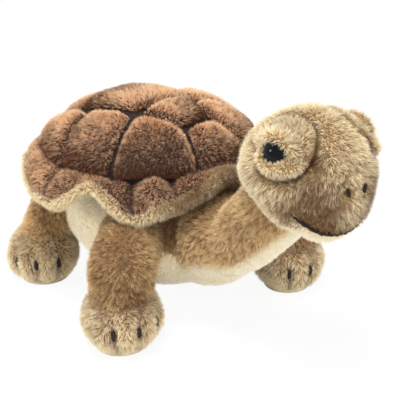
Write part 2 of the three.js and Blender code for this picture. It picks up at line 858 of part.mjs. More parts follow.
function turnedAboutEye(profile, side) {
  const outline = profile.map(([radius, reach]) => new THREE.Vector2(radius, reach));
  const turned = new THREE.LatheGeometry(outline, eyeColumns);
  turned.applyQuaternion(new THREE.Quaternion().setFromUnitVectors(
    new THREE.Vector3(0, 1, 0),
    eyeFrame(side).outward,
  ));
  turned.translate(headCentre.x, headCentre.y, headCentre.z);
  return turned;
}

const eyeSeat = headRadius + seamGap;

function eyeProfile() {
  const profile = [
    [0, eyeSeat - eyeStemLength],
    [eyeStemRadius, eyeSeat - eyeStemLength],
    [eyeStemRadius, eyeSeat],
    [eyeRadius, eyeSeat],
  ];
  for (let k = 1; k < eyeDomeRows; k += 1) {
    const angle = (Math.PI * k) / (2 * eyeDomeRows);
    profile.push([eyeRadius * Math.cos(angle), eyeSeat + eyeBulge * Math.sin(angle)]);
  }
  profile.push([0, eyeSeat + eyeBulge]);
  return profile;
}

// The washer lies under the cover, low enough for its rim to clear the curve of the head
const coverInside = headRadius - coverThickness;
const washerSag = coverInside - Math.sqrt(coverInside ** 2 - washerRadius ** 2);
const washerTop = coverInside - washerSag - washerDepth;
const washerBottom = washerTop - washerThickness;
const washerProfile = [
  [eyeStemRadius + stemPlay, washerBottom],
  [washerRadius, washerBottom],
  [washerRadius, washerTop],
  [eyeStemRadius + stemPlay, washerTop],
  [eyeStemRadius + stemPlay, washerBottom],
];
const stemBore = [
  [0, eyeSeat - eyeStemLength - seamGap],
  [eyeStemRadius + stemPlay, eyeSeat - eyeStemLength - seamGap],
  [eyeStemRadius + stemPlay, headRadius + eyeBulge],
  [0, headRadius + eyeBulge],
];
const washerPocket = [
  [0, washerBottom - seamGap],
  [washerRadius + seamGap, washerBottom - seamGap],
  [washerRadius + seamGap, washerTop + coverThickness],
  [0, washerTop + coverThickness],
];

const rollTaperShare = 0.45;

// A padded roll beside an eye, between two angles about the eye's axis
function eyeRoll(side, startAngle, endAngle, width, thickness) {
  const { outward, across, above } = eyeFrame(side);
  const innerReach = eyeRadius + seamGap;
  const pointAt = (s, t, skin) => {
    const angle = startAngle + (endAngle - startAngle) * (s + 1) / 2;
    const taper = 1 - rollTaperShare * s * s;
    const away = innerReach + width * taper * (t + 1) / 2;
    const lean = away / headRadius;
    const direction = outward.clone().multiplyScalar(Math.cos(lean));
    direction.addScaledVector(across, Math.sin(lean) * Math.cos(angle));
    direction.addScaledVector(above, Math.sin(lean) * Math.sin(angle));
    const base = headRadius * Math.max(1, headSwell(direction)) + seamGap;
    const crown = Math.sqrt((1 - s ** 4) * (1 - t ** 4));
    const swell = padEdgeThickness + (thickness - padEdgeThickness) * crown;
    return headCentre.clone().addScaledVector(direction, skin ? base + swell : base);
  };
  return padGeometry(rollColumns, rollRows, pointAt);
}

const neckAxis = new THREE.Vector3().subVectors(headCentre, neckTop).normalize();
const openingTool = new THREE.CylinderGeometry(
  neckOpeningRadius,
  neckOpeningRadius,
  headRadius,
  ballColumns,
);
openingTool.applyQuaternion(
  new THREE.Quaternion().setFromUnitVectors(new THREE.Vector3(0, 1, 0), neckAxis),
);
const openingCentre = headCentre.clone().addScaledVector(neckAxis, -headRadius);
openingTool.translate(openingCentre.x, openingCentre.y, openingCentre.z);
const eyeBores = [1, -1].map((side) => turnedAboutEye(stemBore, side));
const headInside = headForm(coverThickness);
addPiece(
  'head_cover',
  cutBy(headForm(0), [headInside, jawWedge(seamGap), openingTool, ...eyeBores]),
  colours.head,
  plushRoughness,
);
addPiece(
  'jaw_panel',
  cutBy(sharedBy(headForm(0), jawWedge(0)), [headInside]),
  colours.cream,
  plushRoughness,
);
addPiece(
  'head_filling',
  cutBy(headForm(coverThickness + seamGap), [
    ...eyeBores,
    ...[1, -1].map((side) => turnedAboutEye(washerPocket, side)),
  ]),
  colours.filling,
  fillingRoughness,
);
const headRoomForStitches = headForm(-seamGap);
addPiece('mouth_thread', cutBy(mouthForm(), [headRoomForStitches]), colours.dark, plushRoughness);
const rollStart = THREE.MathUtils.degToRad(8);
const rollEnd = THREE.MathUtils.degToRad(172);
for (const [sideName, side] of [['left', 1], ['right', -1]]) {
  const eye = turnedAboutEye(eyeProfile(), side);
  const washer = turnedAboutEye(washerProfile, side);
  const brow = eyeRoll(side, rollStart, rollEnd, browWidth, browThickness);
  const lid = eyeRoll(side, -rollStart, -rollEnd, lidWidth, lidThickness);
  const nostril = cutBy(nostrilForm(side), [headRoomForStitches]);
  addPiece(`nostril_${sideName}`, nostril, colours.dark, plushRoughness);
  addPiece(`eye_${sideName}`, eye, colours.black, eyeRoughness);
  addPiece(`eye_washer_${sideName}`, washer, colours.white, plasticRoughness);
  addPiece(`brow_${sideName}`, brow, colours.head, plushRoughness);
  addPiece(`lower_lid_${sideName}`, lid, colours.head, plushRoughness);
}

// Neck: rises from a ball in the body's chest to a hollow end that the head sits in
const neckBendShares = [0.48, 0.3];
const neckBend = neckRoot.clone();
neckBend.y -= neckRun * neckBendShares[0];
neckBend.z += neckRise * neckBendShares[1];
const neckWaist = neckBallRadius * neckWaistShare;
const neckStations = [
  { centre: neckRoot, halfWidth: neckBallRadius, halfHeight: neckBallRadius },
  {
    centre: neckRoot.clone().lerp(neckBend, 1 / 2),
    halfWidth: neckBallRadius,
    halfHeight: (neckBallRadius + neckHalfHeight) / 2,
  },
  { centre: neckBend, halfWidth: neckWaist, halfHeight: neckHalfHeight },
  { centre: neckTop, halfWidth: neckWaist, halfHeight: neckHalfHeight },
  { centre: headCentre, halfWidth: neckBallRadius, halfHeight: neckHalfHeight },
];

function neckForm(inset) {
  return limbGeometry(neckStations.map(({ centre, halfWidth, halfHeight }) => ({
    centre,
    halfWidth: halfWidth - inset,
    halfHeight: halfHeight - inset,
  })), neckColumns, neckBallRows);
}

// The strip under the neck that the cream panel takes, from the chest to the jaw
function throatForm(growth) {
  const below = new THREE.Vector3(0, -neckRise, -neckRun).normalize();
  return limbGeometry(neckStations.map(({ centre, halfHeight }) => ({
    centre: centre.clone().addScaledVector(below, halfHeight),
    halfWidth: throatHalfWidth + growth,
    halfHeight: throatHalfHeight + growth,
  })), neckColumns, neckBallRows);
}

const headRoom = ballGeometry(headCentre, headRadius + jointGap, cupColumns, cupRows);
const throatRoom = cutBy(throatForm(seamGap), [neckForm(coverThickness + seamGap)]);
addPiece('neck', cutBy(neckForm(0), [headRoom, throatRoom]), colours.tan, plushRoughness);
const throat = cutBy(sharedBy(neckForm(0), throatForm(0)), [neckForm(coverThickness), headRoom]);
addPiece('throat_panel', throat, colours.cream, plushRoughness);

// Claws are sewn round the front of a foot, each at its own turn from the foot's middle
const clawTurns = [-39, 0, 39].map((angle) => THREE.MathUtils.degToRad(angle));

function clawForm(footCentre, turn) {
  const outward = new THREE.Vector3(Math.sin(turn), -Math.cos(turn), 0);
  const middle = footCentre.clone().setZ(footRise + footHeight * (1 - footCrownShare));
  const stretch = Math.hypot(outward.x / footHalfWidth, outward.y / footHalfLength);
  const centre = middle.addScaledVector(outward, 1 / stretch);
  const above = new THREE.Vector3(0, 0, 1);
  const across = new THREE.Vector3().crossVectors(outward, above);
  const halfSizes = new THREE.Vector3(clawHalfWidth, clawHalfDepth, clawHalfLength);
  return stitchForm(centre, halfSizes, new THREE.Matrix4().makeBasis(across, outward, above));
}

for (const [legName, hip] of Object.entries(hips)) {
  const turn = Math.sign(hip.x) * (legName.startsWith('front') ? splay.front : splay.hind);
  const footCentre = footCentreOf(hip);
  const leg = cutBy(legForm(hip, 0), [footForm(footCentre, turn, seamGap)]);
  addPiece(`leg_${legName}`, leg, colours.tan, plushRoughness);
  addPiece(`foot_${legName}`, footForm(footCentre, turn, 0), colours.tan, plushRoughness);
  addPiece(`sole_${legName}`, soleGeometry(footCentre, turn), colours.cream, plushRoughness);
  clawTurns.forEach((clawTurn, k) => {
    const claw = clawForm(new THREE.Vector3(), clawTurn);
    claw.rotateZ(turn).translate(footCentre.x, footCentre.y, 0);
    const sewn = cutBy(claw, [footForm(footCentre, turn, seamGap)]);
    addPiece(`claw_${legName}_${k + 1}`, sewn, colours.dark, plushRoughness);
  });
}

// Tail
const tailShares = { middle: 0.6, width: 0.75, height: 0.7 };
const tailTip = tailRoot.clone();
tailTip.y += tailLength;
tailTip.z -= tailLength / 2;
const tailForm = limbGeometry([
  { centre: tailRoot, halfWidth: tailBallRadius, halfHeight: tailBallRadius },
  {
    centre: tailRoot.clone().lerp(tailTip, tailShares.middle),
    halfWidth: tailBallRadius * tailShares.width,
    halfHeight: tailBallRadius * tailShares.height,
  },
  { centre: tailTip, halfWidth: tailTipRadius, halfHeight: tailTipRadius },
], tailColumns, legBallRows);
addPiece('tail', tailForm, colours.tan, plushRoughness);

// The toy's middle stands over the origin
const wholeToy = new THREE.Box3().setFromObject(tortoise);
tortoise.position.y = -wholeToy.getCenter(new THREE.Vector3()).y;

export default tortoise;
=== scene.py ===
import math
import bmesh
import bpy
import numpy as np
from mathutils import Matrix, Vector

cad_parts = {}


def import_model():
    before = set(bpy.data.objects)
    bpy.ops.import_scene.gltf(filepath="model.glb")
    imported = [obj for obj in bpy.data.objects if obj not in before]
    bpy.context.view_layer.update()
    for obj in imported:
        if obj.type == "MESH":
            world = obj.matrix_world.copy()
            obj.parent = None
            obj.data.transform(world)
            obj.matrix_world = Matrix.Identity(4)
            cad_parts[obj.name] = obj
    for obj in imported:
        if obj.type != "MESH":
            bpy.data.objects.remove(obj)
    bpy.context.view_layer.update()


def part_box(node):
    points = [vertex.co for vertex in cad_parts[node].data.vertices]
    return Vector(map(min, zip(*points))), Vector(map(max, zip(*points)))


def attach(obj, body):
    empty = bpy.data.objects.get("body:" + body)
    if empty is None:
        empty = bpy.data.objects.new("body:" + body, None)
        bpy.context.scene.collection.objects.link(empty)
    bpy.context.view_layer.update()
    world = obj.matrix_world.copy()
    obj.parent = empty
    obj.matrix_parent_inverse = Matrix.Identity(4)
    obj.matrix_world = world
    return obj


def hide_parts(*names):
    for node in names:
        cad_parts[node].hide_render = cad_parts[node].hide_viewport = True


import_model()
rng = np.random.default_rng(11)

# Laid out in millimetres about a point midway between the feet, then moved along to the frame's soles
STANCE_OUT, STANCE_ALONG = 77.0, 63.0
sole_low, sole_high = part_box("sole_front_left")
SHIFT = (sole_low.y + sole_high.y) * 500 + STANCE_ALONG
SIDES = {"left": 1, "right": -1}


def world(points):
    return (np.asarray(points, float) + [0, SHIFT, 0]) * 0.001


def unit(v):
    v = np.asarray(v, float)
    return v / np.maximum(np.linalg.norm(v, axis=-1, keepdims=True), 1e-9)


def dot(a, b):
    return np.einsum("ij,ij->i", a, b)


def smooth(x):
    x = np.clip(x, 0, 1)
    return x * x * (3 - 2 * x)


def bump(off, width):
    return np.exp(-(off / width) ** 2)


def around(columns):
    return 2 * np.pi * np.arange(columns) / columns


def placed(name, data):
    obj = bpy.data.objects.new(name, data)
    bpy.context.scene.collection.objects.link(obj)
    return obj


def aimed(name, data, place, way):
    """A camera or a lamp at a place, looking along a way."""
    obj = placed(name, data)
    obj.location = place
    obj.rotation_mode = "QUATERNION"
    obj.rotation_quaternion = way.to_track_quat("-Z", "Y")
    return obj


# Camera, fitted to the photo
CAMERA_TURN, CAMERA_RISE, CAMERA_DISTANCE = math.radians(-35.4), math.radians(22.5), 0.5851
CAMERA_TARGET = [0.5, -48.8, 86.4]
SENSOR, FOCAL_PIXELS, PHOTO_PIXELS = 36, 795.6, 400


def make_camera():
    level = math.cos(CAMERA_RISE)
    back = Vector((math.sin(CAMERA_TURN) * level, -math.cos(CAMERA_TURN) * level, math.sin(CAMERA_RISE)))
    data = bpy.data.cameras.new("camera")
    data.sensor_width = SENSOR
    data.lens = SENSOR * FOCAL_PIXELS / PHOTO_PIXELS
    data.clip_start, data.clip_end = 0.01, 20
    place = Vector(world(CAMERA_TARGET)) + back * CAMERA_DISTANCE
    bpy.context.scene.camera = aimed("camera", data, place, -back)


make_camera()


# Materials
def srgb(*values):
    """A colour given in sRGB bytes."""
    return tuple(v / 255 / 12.92 if v <= 10 else ((v / 255 + 0.055) / 1.055) ** 2.4 for v in values) + (1.0,)


def feed(tree, node, values):
    """Numbers, colours and other nodes' results go to a node's inputs."""
    for key, value in values.items():
        if isinstance(value, bpy.types.NodeSocket):
            tree.links.new(value, node.inputs[key])
        else:
            node.inputs[key].default_value = value


def added(tree, kind, values, **settings):
    node = tree.nodes.new("ShaderNode" + kind)
    for key, value in settings.items():
        setattr(node, key, value)
    feed(tree, node, values)
    return node


def calculated(tree, operation, *values):
    return added(tree, "Math", dict(enumerate(values)), operation=operation).outputs[0]


def ramp(tree, share, stops):
    """Colours between two stops, at the share that another node gives."""
    node = added(tree, "ValToRGB", {"Fac": share})
    for element, (place, colour) in zip(node.color_ramp.elements, stops):
        element.position = place
        element.color = srgb(*colour)
    return node.outputs["Color"]


def shader(name, roughness, specular, sheen=0.0):
    material = bpy.data.materials.new(name)
    material.use_nodes = True
    tree = material.node_tree
    main = tree.nodes["Principled BSDF"]
    feed(tree, main, {"Roughness": roughness, "Specular IOR Level": specular, "Sheen Weight": sheen,
                      "Sheen Roughness": 0.45})
    return material, tree, main


def plain(name, colour, roughness, specular):
    material, tree, main = shader(name, roughness, specular)
    feed(tree, main, {"Base Color": srgb(*colour)})
    return material


def backing(name, dark, light, scale=260.0, relief=0.5):
    """The woven ground of the plush, seen between the strands."""
    material, tree, main = shader(name, 0.95, 0.1)
    place = added(tree, "TexCoord", {}).outputs["Object"]
    threads = added(tree, "TexNoise", {"Scale": scale, "Detail": 4, "Vector": place}).outputs["Fac"]
    lift = added(tree, "Bump", {"Strength": relief, "Distance": 0.001, "Height": threads}).outputs["Normal"]
    feed(tree, main, {"Base Color": ramp(tree, threads, [(0.3, dark), (0.7, light)]), "Normal": lift})
    return material


TONES = 16


def pile_material(name, dark_root, dark_tip, light_root, light_tip):
    """Strand colours: the map's second number runs from root to tip, its first picks one of the tones."""
    material, tree, main = shader(name, 0.9, 0.15, 0.3)
    place = added(tree, "UVMap", {}, uv_map="OFBake").outputs["UV"]
    across, along = added(tree, "SeparateXYZ", {0: place}).outputs[:2]
    column = calculated(tree, "FLOOR", calculated(tree, "MULTIPLY", across, TONES))
    # The strands darken from tip to root: painted shade deep in the pile
    dark = ramp(tree, along, [(0.0, dark_root), (1.0, dark_tip)])
    light = ramp(tree, along, [(0.0, light_root), (1.0, light_tip)])
    share = calculated(tree, "DIVIDE", column, TONES - 1)
    mix = added(tree, "Mix", {"Factor": share, "A": dark, "B": light}, data_type="RGBA")
    feed(tree, main, {"Base Color": mix.outputs["Result"]})
    return material


# A strand's root and tip in the darkest tone, then in the lightest, and the ground's dark and light threads.
# The roots, and the grounds seen between the strands, are painted darker than the tips as shade deep in the
# pile; the pale tips are also a painted sheen.
PLUSHES = {
    "brown_plush": [(56, 31, 18), (119, 71, 43), (226, 166, 122), (253, 222, 181), (44, 28, 21), (80, 54, 38)],
    "tan_plush": [(94, 64, 34), (150, 107, 62), (202, 154, 96), (255, 232, 182), (106, 78, 48), (146, 110, 70)],
    "head_plush": [(92, 66, 40), (142, 104, 66), (228, 194, 144), (255, 250, 220), (112, 88, 56),
                   (154, 124, 84)],
    "cream_plush": [(220, 202, 162), (248, 236, 206), (246, 236, 208), (255, 255, 248), (216, 198, 158),
                    (240, 226, 192)],
}
PILE = {key: pile_material("pile_" + key, *colours[:4]) for key, colours in PLUSHES.items()}
GROUND = {key: backing("ground_" + key, *colours[4:]) for key, colours in PLUSHES.items()}
GROUND["dark_fabric"] = backing("ground_dark", (34, 25, 26), (62, 50, 48), 320.0, 0.4)
EYE = plain("eye_gloss", (5, 7, 10), 0.07, 0.14)
THREAD = plain("dark_thread", (44, 32, 30), 0.8, 0.2)


# Meshes: a skin is its points and its triangles
def closed(verts, tris):
    """A closed skin with its faces turned out."""
    a, b, c = (verts[tris[:, k]] for k in range(3))
    volume = dot(a, np.cross(b, c)).sum()
    return verts, tris if volume > 0 else tris[:, ::-1]


def vertex_normals(verts, tris):
    a, b, c = (verts[tris[:, k]] for k in range(3))
    face = np.cross(b - a, c - a)
    normals = np.zeros_like(verts)
    for k in range(3):
        np.add.at(normals, tris[:, k], face)
    return unit(normals)


def piece(name, skin, material, body, uv=None):
    """An object that rides a body. One with a map is faceted, the others are smooth."""
    verts, tris = skin
    count = len(tris)
    mesh = bpy.data.meshes.new(name)
    mesh.vertices.add(len(verts))
    mesh.vertices.foreach_set("co", world(verts).astype(np.float32).ravel())
    mesh.loops.add(count * 3)
    mesh.loops.foreach_set("vertex_index", np.ascontiguousarray(tris, np.int32).ravel())
    mesh.polygons.add(count)
    mesh.polygons.foreach_set("loop_start", np.arange(0, count * 3, 3, dtype=np.int32))
    mesh.polygons.foreach_set("use_smooth", np.full(count, uv is None, bool))
    mesh.update(calc_edges=True)
    if uv is not None:
        layer = mesh.uv_layers.new(name="OFBake")
        layer.data.foreach_set("uv", uv.astype(np.float32).ravel())
    mesh.materials.append(material)
    obj = placed(name, mesh)
    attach(obj, body)
    return obj


def ring_triangles(low, high, columns):
    k = np.arange(columns)
    following = (k + 1) % columns
    first = np.stack([low + k, low + following, high + k], 1)
    second = np.stack([low + following, high + following, high + k], 1)
    return [first, second]


def capped(rings, first, last):
    """A closed skin from rings of points and a point at each end."""
    rings = np.asarray(rings, float)
    rows, columns = rings.shape[:2]
    verts = np.concatenate([[first], rings.reshape(-1, 3), [last]])
    k = np.arange(columns)
    following = (k + 1) % columns
    end = len(verts) - 1
    tris = [np.stack([np.zeros_like(k), 1 + following, 1 + k], 1)]
    tris.append(np.stack([np.full_like(k, end), end - columns + k, end - columns + following], 1))
    for row in range(rows - 1):
        tris += ring_triangles(1 + row * columns, 1 + (row + 1) * columns, columns)
    return closed(verts, np.concatenate(tris))


def hoop(rings):
    """A closed skin from rings of points, the last of which meets the first."""
    rings = np.stack(rings, 1)
    rows, columns = rings.shape[:2]
    tris = []
    for row in range(rows):
        tris += ring_triangles(row * columns, ((row + 1) % rows) * columns, columns)
    return closed(rings.reshape(-1, 3), np.concatenate(tris))


def pad(columns, rows, point_at):
    """A closed pad between a lower and an upper skin; point_at takes shares from -1 to 1."""
    s, t = np.meshgrid(np.linspace(-1, 1, columns + 1), np.linspace(-1, 1, rows + 1))
    top = point_at(s.ravel(), t.ravel(), True)
    bottom = point_at(s.ravel(), t.ravel(), False)
    index = np.arange((rows + 1) * (columns + 1)).reshape(rows + 1, columns + 1)
    above = np.stack([index[:-1, :-1], index[:-1, 1:], index[1:, 1:], index[1:, :-1]], -1).reshape(-1, 4)
    below = above[:, ::-1] + len(top)
    border = np.concatenate([index[0, :-1], index[:-1, -1], index[-1, :0:-1], index[:0:-1, 0]])
    ahead = np.roll(border, -1)
    wall = np.stack([ahead, border, border + len(top), ahead + len(top)], 1)
    quads = np.concatenate([above, below, wall])
    return closed(np.concatenate([top, bottom]), np.concatenate([quads[:, [0, 1, 2]], quads[:, [0, 2, 3]]]))


def soften(v, square):
    return np.sign(v) * np.abs(v) ** square


def lump_point(centre, half, square, polar, turn):
    """Points of a rounded lump, squared off a little by a share below 1."""
    flat = soften(np.sin(polar), square)
    return centre + half * np.stack([
        flat * soften(np.cos(turn), square),
        flat * soften(np.sin(turn), square),
        soften(np.cos(polar), square) + 0 * turn,
    ], -1)


def lump(centre, half, square):
    columns, rows = 96, 56
    rings = [lump_point(centre, half, square, np.pi * row / rows, around(columns)) for row in range(1, rows)]
    above = np.array([0, 0, half[2]])
    return capped(rings, centre + above, centre - above)


def spline(points, count):
    """Points along a smooth curve through the given ones."""
    points = np.asarray(points, float)
    ends = np.concatenate([[2 * points[0] - points[1]], points, [2 * points[-1] - points[-2]]])
    at = np.linspace(0, len(points) - 1 - 1e-9, count)
    k = at.astype(int)
    f = (at - k)[:, None]
    a, b, c, d = ends[k], ends[k + 1], ends[k + 2], ends[k + 3]
    square, cube = 2 * a - 5 * b + 4 * c - d, 3 * b - a - 3 * c + d
    return 0.5 * (2 * b + (c - a) * f + square * f ** 2 + cube * f ** 3)


def limb_frame(centres, widths, heights, steps):
    """The middle line of a limb, its half sizes, and the ways along, across and above it."""
    path = spline(centres, steps)
    sizes = spline(np.stack([widths, heights], 1), steps)
    along = unit(np.gradient(path, axis=0))
    above = unit(np.cross([1.0, 0, 0], along))
    return path, sizes, along, np.cross(along, above), above


def limb(centres, widths, heights, columns, steps):
    """A limb that starts as a ball and runs through the centres with two half sizes at each."""
    path, sizes, along, across, above = limb_frame(centres, widths, heights, steps)
    turn = around(columns)

    def ring(k, centre, wide, high):
        return centre + across[k] * (wide * np.cos(turn))[:, None] + above[k] * (high * np.sin(turn))[:, None]

    rings = []
    ball_rows, end_rows = 8, 4
    for row in range(1, ball_rows):
        angle = np.pi * row / (2 * ball_rows)
        radius = widths[0] * math.sin(angle)
        rings.append(ring(0, path[0] - along[0] * widths[0] * math.cos(angle), radius, radius))
    rings += [ring(k, path[k], *sizes[k]) for k in range(steps)]
    wide, high = sizes[-1]
    for row in range(1, end_rows):
        angle = np.pi * row / (2 * end_rows)
        centre = path[-1] + along[-1] * high * 0.5 * math.sin(angle)
        rings.append(ring(-1, centre, wide * math.cos(angle), high * math.cos(angle)))
    return capped(rings, path[0] - along[0] * widths[0], path[-1] + along[-1] * high * 0.5)


def tube(points, radii):
    along = unit(np.gradient(points, axis=0))
    first = unit(np.cross(along[0], [0.3, 0.5, 0.81]))
    turn = around(8)
    rings = []
    for k in range(len(points)):
        first = unit(first - along[k] * np.dot(first, along[k]))
        second = np.cross(along[k], first)
        rings.append(points[k] + radii[k] * (first * np.cos(turn)[:, None] + second * np.sin(turn)[:, None]))
    return capped(rings, points[0] - along[0] * radii[0] * 0.5, points[-1] + along[-1] * radii[-1] * 0.5)


def spindle(radius, count, bluntness):
    """Radii of a thread that narrows towards both ends."""
    return radius * np.sqrt(np.clip(1 - np.linspace(-1, 1, count) ** 2, bluntness, 1))


# The toy's main forms, and how far a point lies from each and which way out
BODY_CENTRE = np.array([0, 4.0, 62.0])
BODY_HALF = np.array([68.0, 82.0, 50.0])
BODY_SQUARE = 0.86
NECK_ROOT = np.array([0, BODY_CENTRE[1] - BODY_HALF[1] * 0.96, 66.0])
NECK_BEND = NECK_ROOT + [0, -62 * 0.48, 48 * 0.3]
NECK_TOP = NECK_ROOT + [0, -62.0, 48.0]
HEAD_CENTRE = NECK_TOP + [0, -25.0, 29.0]
HEAD_R = 43.0
NECK_LINE = [NECK_ROOT, (NECK_ROOT + NECK_BEND) / 2, NECK_BEND, NECK_TOP, HEAD_CENTRE + [0, 4, -6]]
NECK_WIDE = [28.0, 27.8, 26.8, 26.6, 24]
NECK_HIGH = [28.0, 25.0, 21.6, 21.4, 20]
FOOT_RISE, FOOT_HEIGHT, FOOT_SQUARE = 3.4, 42, 0.92
FOOT_HALF = np.array([28.5, 27.0, FOOT_HEIGHT * 0.56])
FOOT_MIDDLE = FOOT_RISE + FOOT_HEIGHT * 0.44
LEGS = {"front_left": (1, -1), "front_right": (-1, -1), "hind_left": (1, 1), "hind_right": (-1, 1)}
LIMBS = ["leg_" + word for word in LEGS] + ["neck"]
# How far the skins lie below the forms, so that the pile fills them
SKIN_DEPTH = 2.6
# How far from another form a skin begins to swell towards it
LEG_FILLET, NECK_FILLET, FOOT_FILLET = 22, 34, 10

# Middle lines of the legs, from under the rim down: distance out, distance along, height and radius
ANKLE = (STANCE_OUT, STANCE_ALONG, 23.9, 19.4)
FRONT_LEG = [(60, 47, 69, 19.5), (69, 58, 66, 20.6), (75, 63, 58, 21.6), (76, 63, 42, 20.2), ANKLE]
HIND_LEG = [(62, 59, 71, 15.8), (66, 61, 60, 16.4), (71, 62, 48, 17.2), (75, 63, 36, 18.2), ANKLE]


def leg_line(word):
    side, end = LEGS[word]
    rows = FRONT_LEG if end < 0 else HIND_LEG
    return [np.array([side * x, end * y, z]) for x, y, z, _ in rows], [row[3] for row in rows]


def from_lump(p, centre, half, square):
    power = 2 / square
    q = (p - centre) / half
    level = np.maximum((np.abs(q) ** power).sum(1) ** (1 / power), 1e-6)
    slope = soften(q, power - 1) / half * (level ** (1 - power))[:, None]
    steep = np.maximum(np.linalg.norm(slope, axis=1), 1e-6)
    return (level - 1) / steep, slope / steep[:, None]


def from_limb(p, line, radii):
    steps = 24
    best, way = np.full(len(p), 1e9), np.zeros((len(p), 3))
    for centre, radius in zip(spline(line, steps), spline(np.array(radii)[:, None], steps)[:, 0]):
        offset = p - centre
        far = np.linalg.norm(offset, axis=1)
        closer = far - radius < best
        best[closer] = far[closer] - radius
        way[closer] = unit(offset[closer])
    return best, way


def from_form(name, p):
    """Distance from a form, below 0 inside it, and the way out."""
    if name == "body":
        return from_lump(p, BODY_CENTRE, BODY_HALF - SKIN_DEPTH, BODY_SQUARE)
    if name == "neck":
        return from_limb(p, NECK_LINE, (np.array(NECK_WIDE) + NECK_HIGH) / 2)
    if name == "head":
        offset = p - HEAD_CENTRE
        return np.linalg.norm(offset, axis=1) - head_radius(unit(offset)) + SKIN_DEPTH, unit(offset)
    kind, word = name.split("_", 1)
    if kind == "leg":
        return from_limb(p, *leg_line(word))
    side, end = LEGS[word]
    centre = np.array([side * STANCE_OUT, end * STANCE_ALONG, FOOT_MIDDLE])
    return from_lump(p, centre, FOOT_HALF - SKIN_DEPTH, FOOT_SQUARE)


def filleted(skin, forms, reach):
    """A skin that swells where it meets other forms, as stuffed fabric does at its seams."""
    verts, tris = skin
    normals = vertex_normals(verts, tris)
    moved = verts.copy()
    for form in forms:
        distance, way = from_form(form, verts)
        share = np.clip(1 - np.abs(distance) / reach, 0, 1)
        moved += unit(normals + way * (share * 0.7)[:, None]) * (share ** 2 * reach / 4)[:, None]
    return moved, tris


def buried(p, forms, depth):
    hidden = np.zeros(len(p), bool)
    for form in forms:
        hidden |= from_form(form, p)[0] < -depth
    return hidden


# Pile: slender closed strands, leaning the way the plush is brushed and gathered into small locks
DENSITY, THICKER = ((1.0, 1.0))
WAVES = 6
WAVE_PHASES = rng.random(WAVES) * 2 * np.pi
WAVE_WAYS = unit(rng.normal(size=(WAVES, 3)))
# A strand's faces on its four points, and the points' places in the map: in a tone's column, and upwards
STRAND = np.array([[0, 1, 3], [1, 2, 3], [2, 0, 3], [0, 2, 1]])
STRAND_U, STRAND_V = [0.1, 0.5, 0.9, 0.5], [0.03, 0.10, 0.03, 0.97]
MIDDLE_TONE = 0.66


def drift(points, size):
    """A slow variation from about -1 to 1 over the surface."""
    total = np.zeros(len(points))
    for k in range(WAVES):
        total += np.sin(points @ WAVE_WAYS[k] * (2 * np.pi / (size * (0.7 + 0.13 * k))) + WAVE_PHASES[k])
    return total / 3.2


def cell_random(cells, channel):
    """A number from 0 to 1 that belongs to a cell."""
    x, y, z = cells.T
    h = (x * 73856093) ^ (y * 19349663) ^ (z * 83492791) ^ (channel * 2654435761)
    h = (h ^ (h >> 13)) * 1274126177 & 0xFFFFFFFF
    h = (h ^ (h >> 16)) & 0xFFFFFF
    return h / float(0xFFFFFF)


def nearest_lock(points, wide, long, way):
    """The nearest lock's middle for each point, three random numbers of that lock, and how far off it is."""
    way = unit(way)
    drawn = points - np.outer(points @ way, way) * (1 - wide / long)
    places = drawn / wide
    home = np.floor(places).astype(np.int64)
    best = np.full(len(points), 1e9)
    middle = np.zeros_like(points)
    number = np.zeros((len(points), 3))
    for step in np.ndindex(3, 3, 3):
        cell = home + np.array(step) - 1
        there = cell + np.stack([cell_random(cell, c) for c in range(3)], 1)
        far = np.linalg.norm(there - places, axis=1)
        closer = far < best
        best[closer] = far[closer]
        middle[closer] = there[closer]
        number[closer] = np.stack([cell_random(cell[closer], c + 3) for c in range(3)], 1)
    middle *= wide
    return middle + np.outer(middle @ way, way) * (long / wide - 1), number, best


def scattered(skin, density, keep):
    """Random roots over a skin, with its normals there."""
    verts, tris = skin
    normals = vertex_normals(verts, tris)
    corner = verts[tris]
    face = np.cross(corner[:, 1] - corner[:, 0], corner[:, 2] - corner[:, 0])
    area = np.linalg.norm(face, axis=1) / 2 * keep(corner.mean(1), unit(face))
    count = int(area.sum() * density * DENSITY)
    pick = rng.choice(len(tris), count, p=area / area.sum())
    a, b = rng.random(count), rng.random(count)
    flip = a + b > 1
    a[flip], b[flip] = 1 - a[flip], 1 - b[flip]
    weights = np.stack([1 - a - b, a, b], 1)[:, :, None]
    root = (verts[tris[pick]] * weights).sum(1)
    return root, unit((normals[tris[pick]] * weights).sum(1))


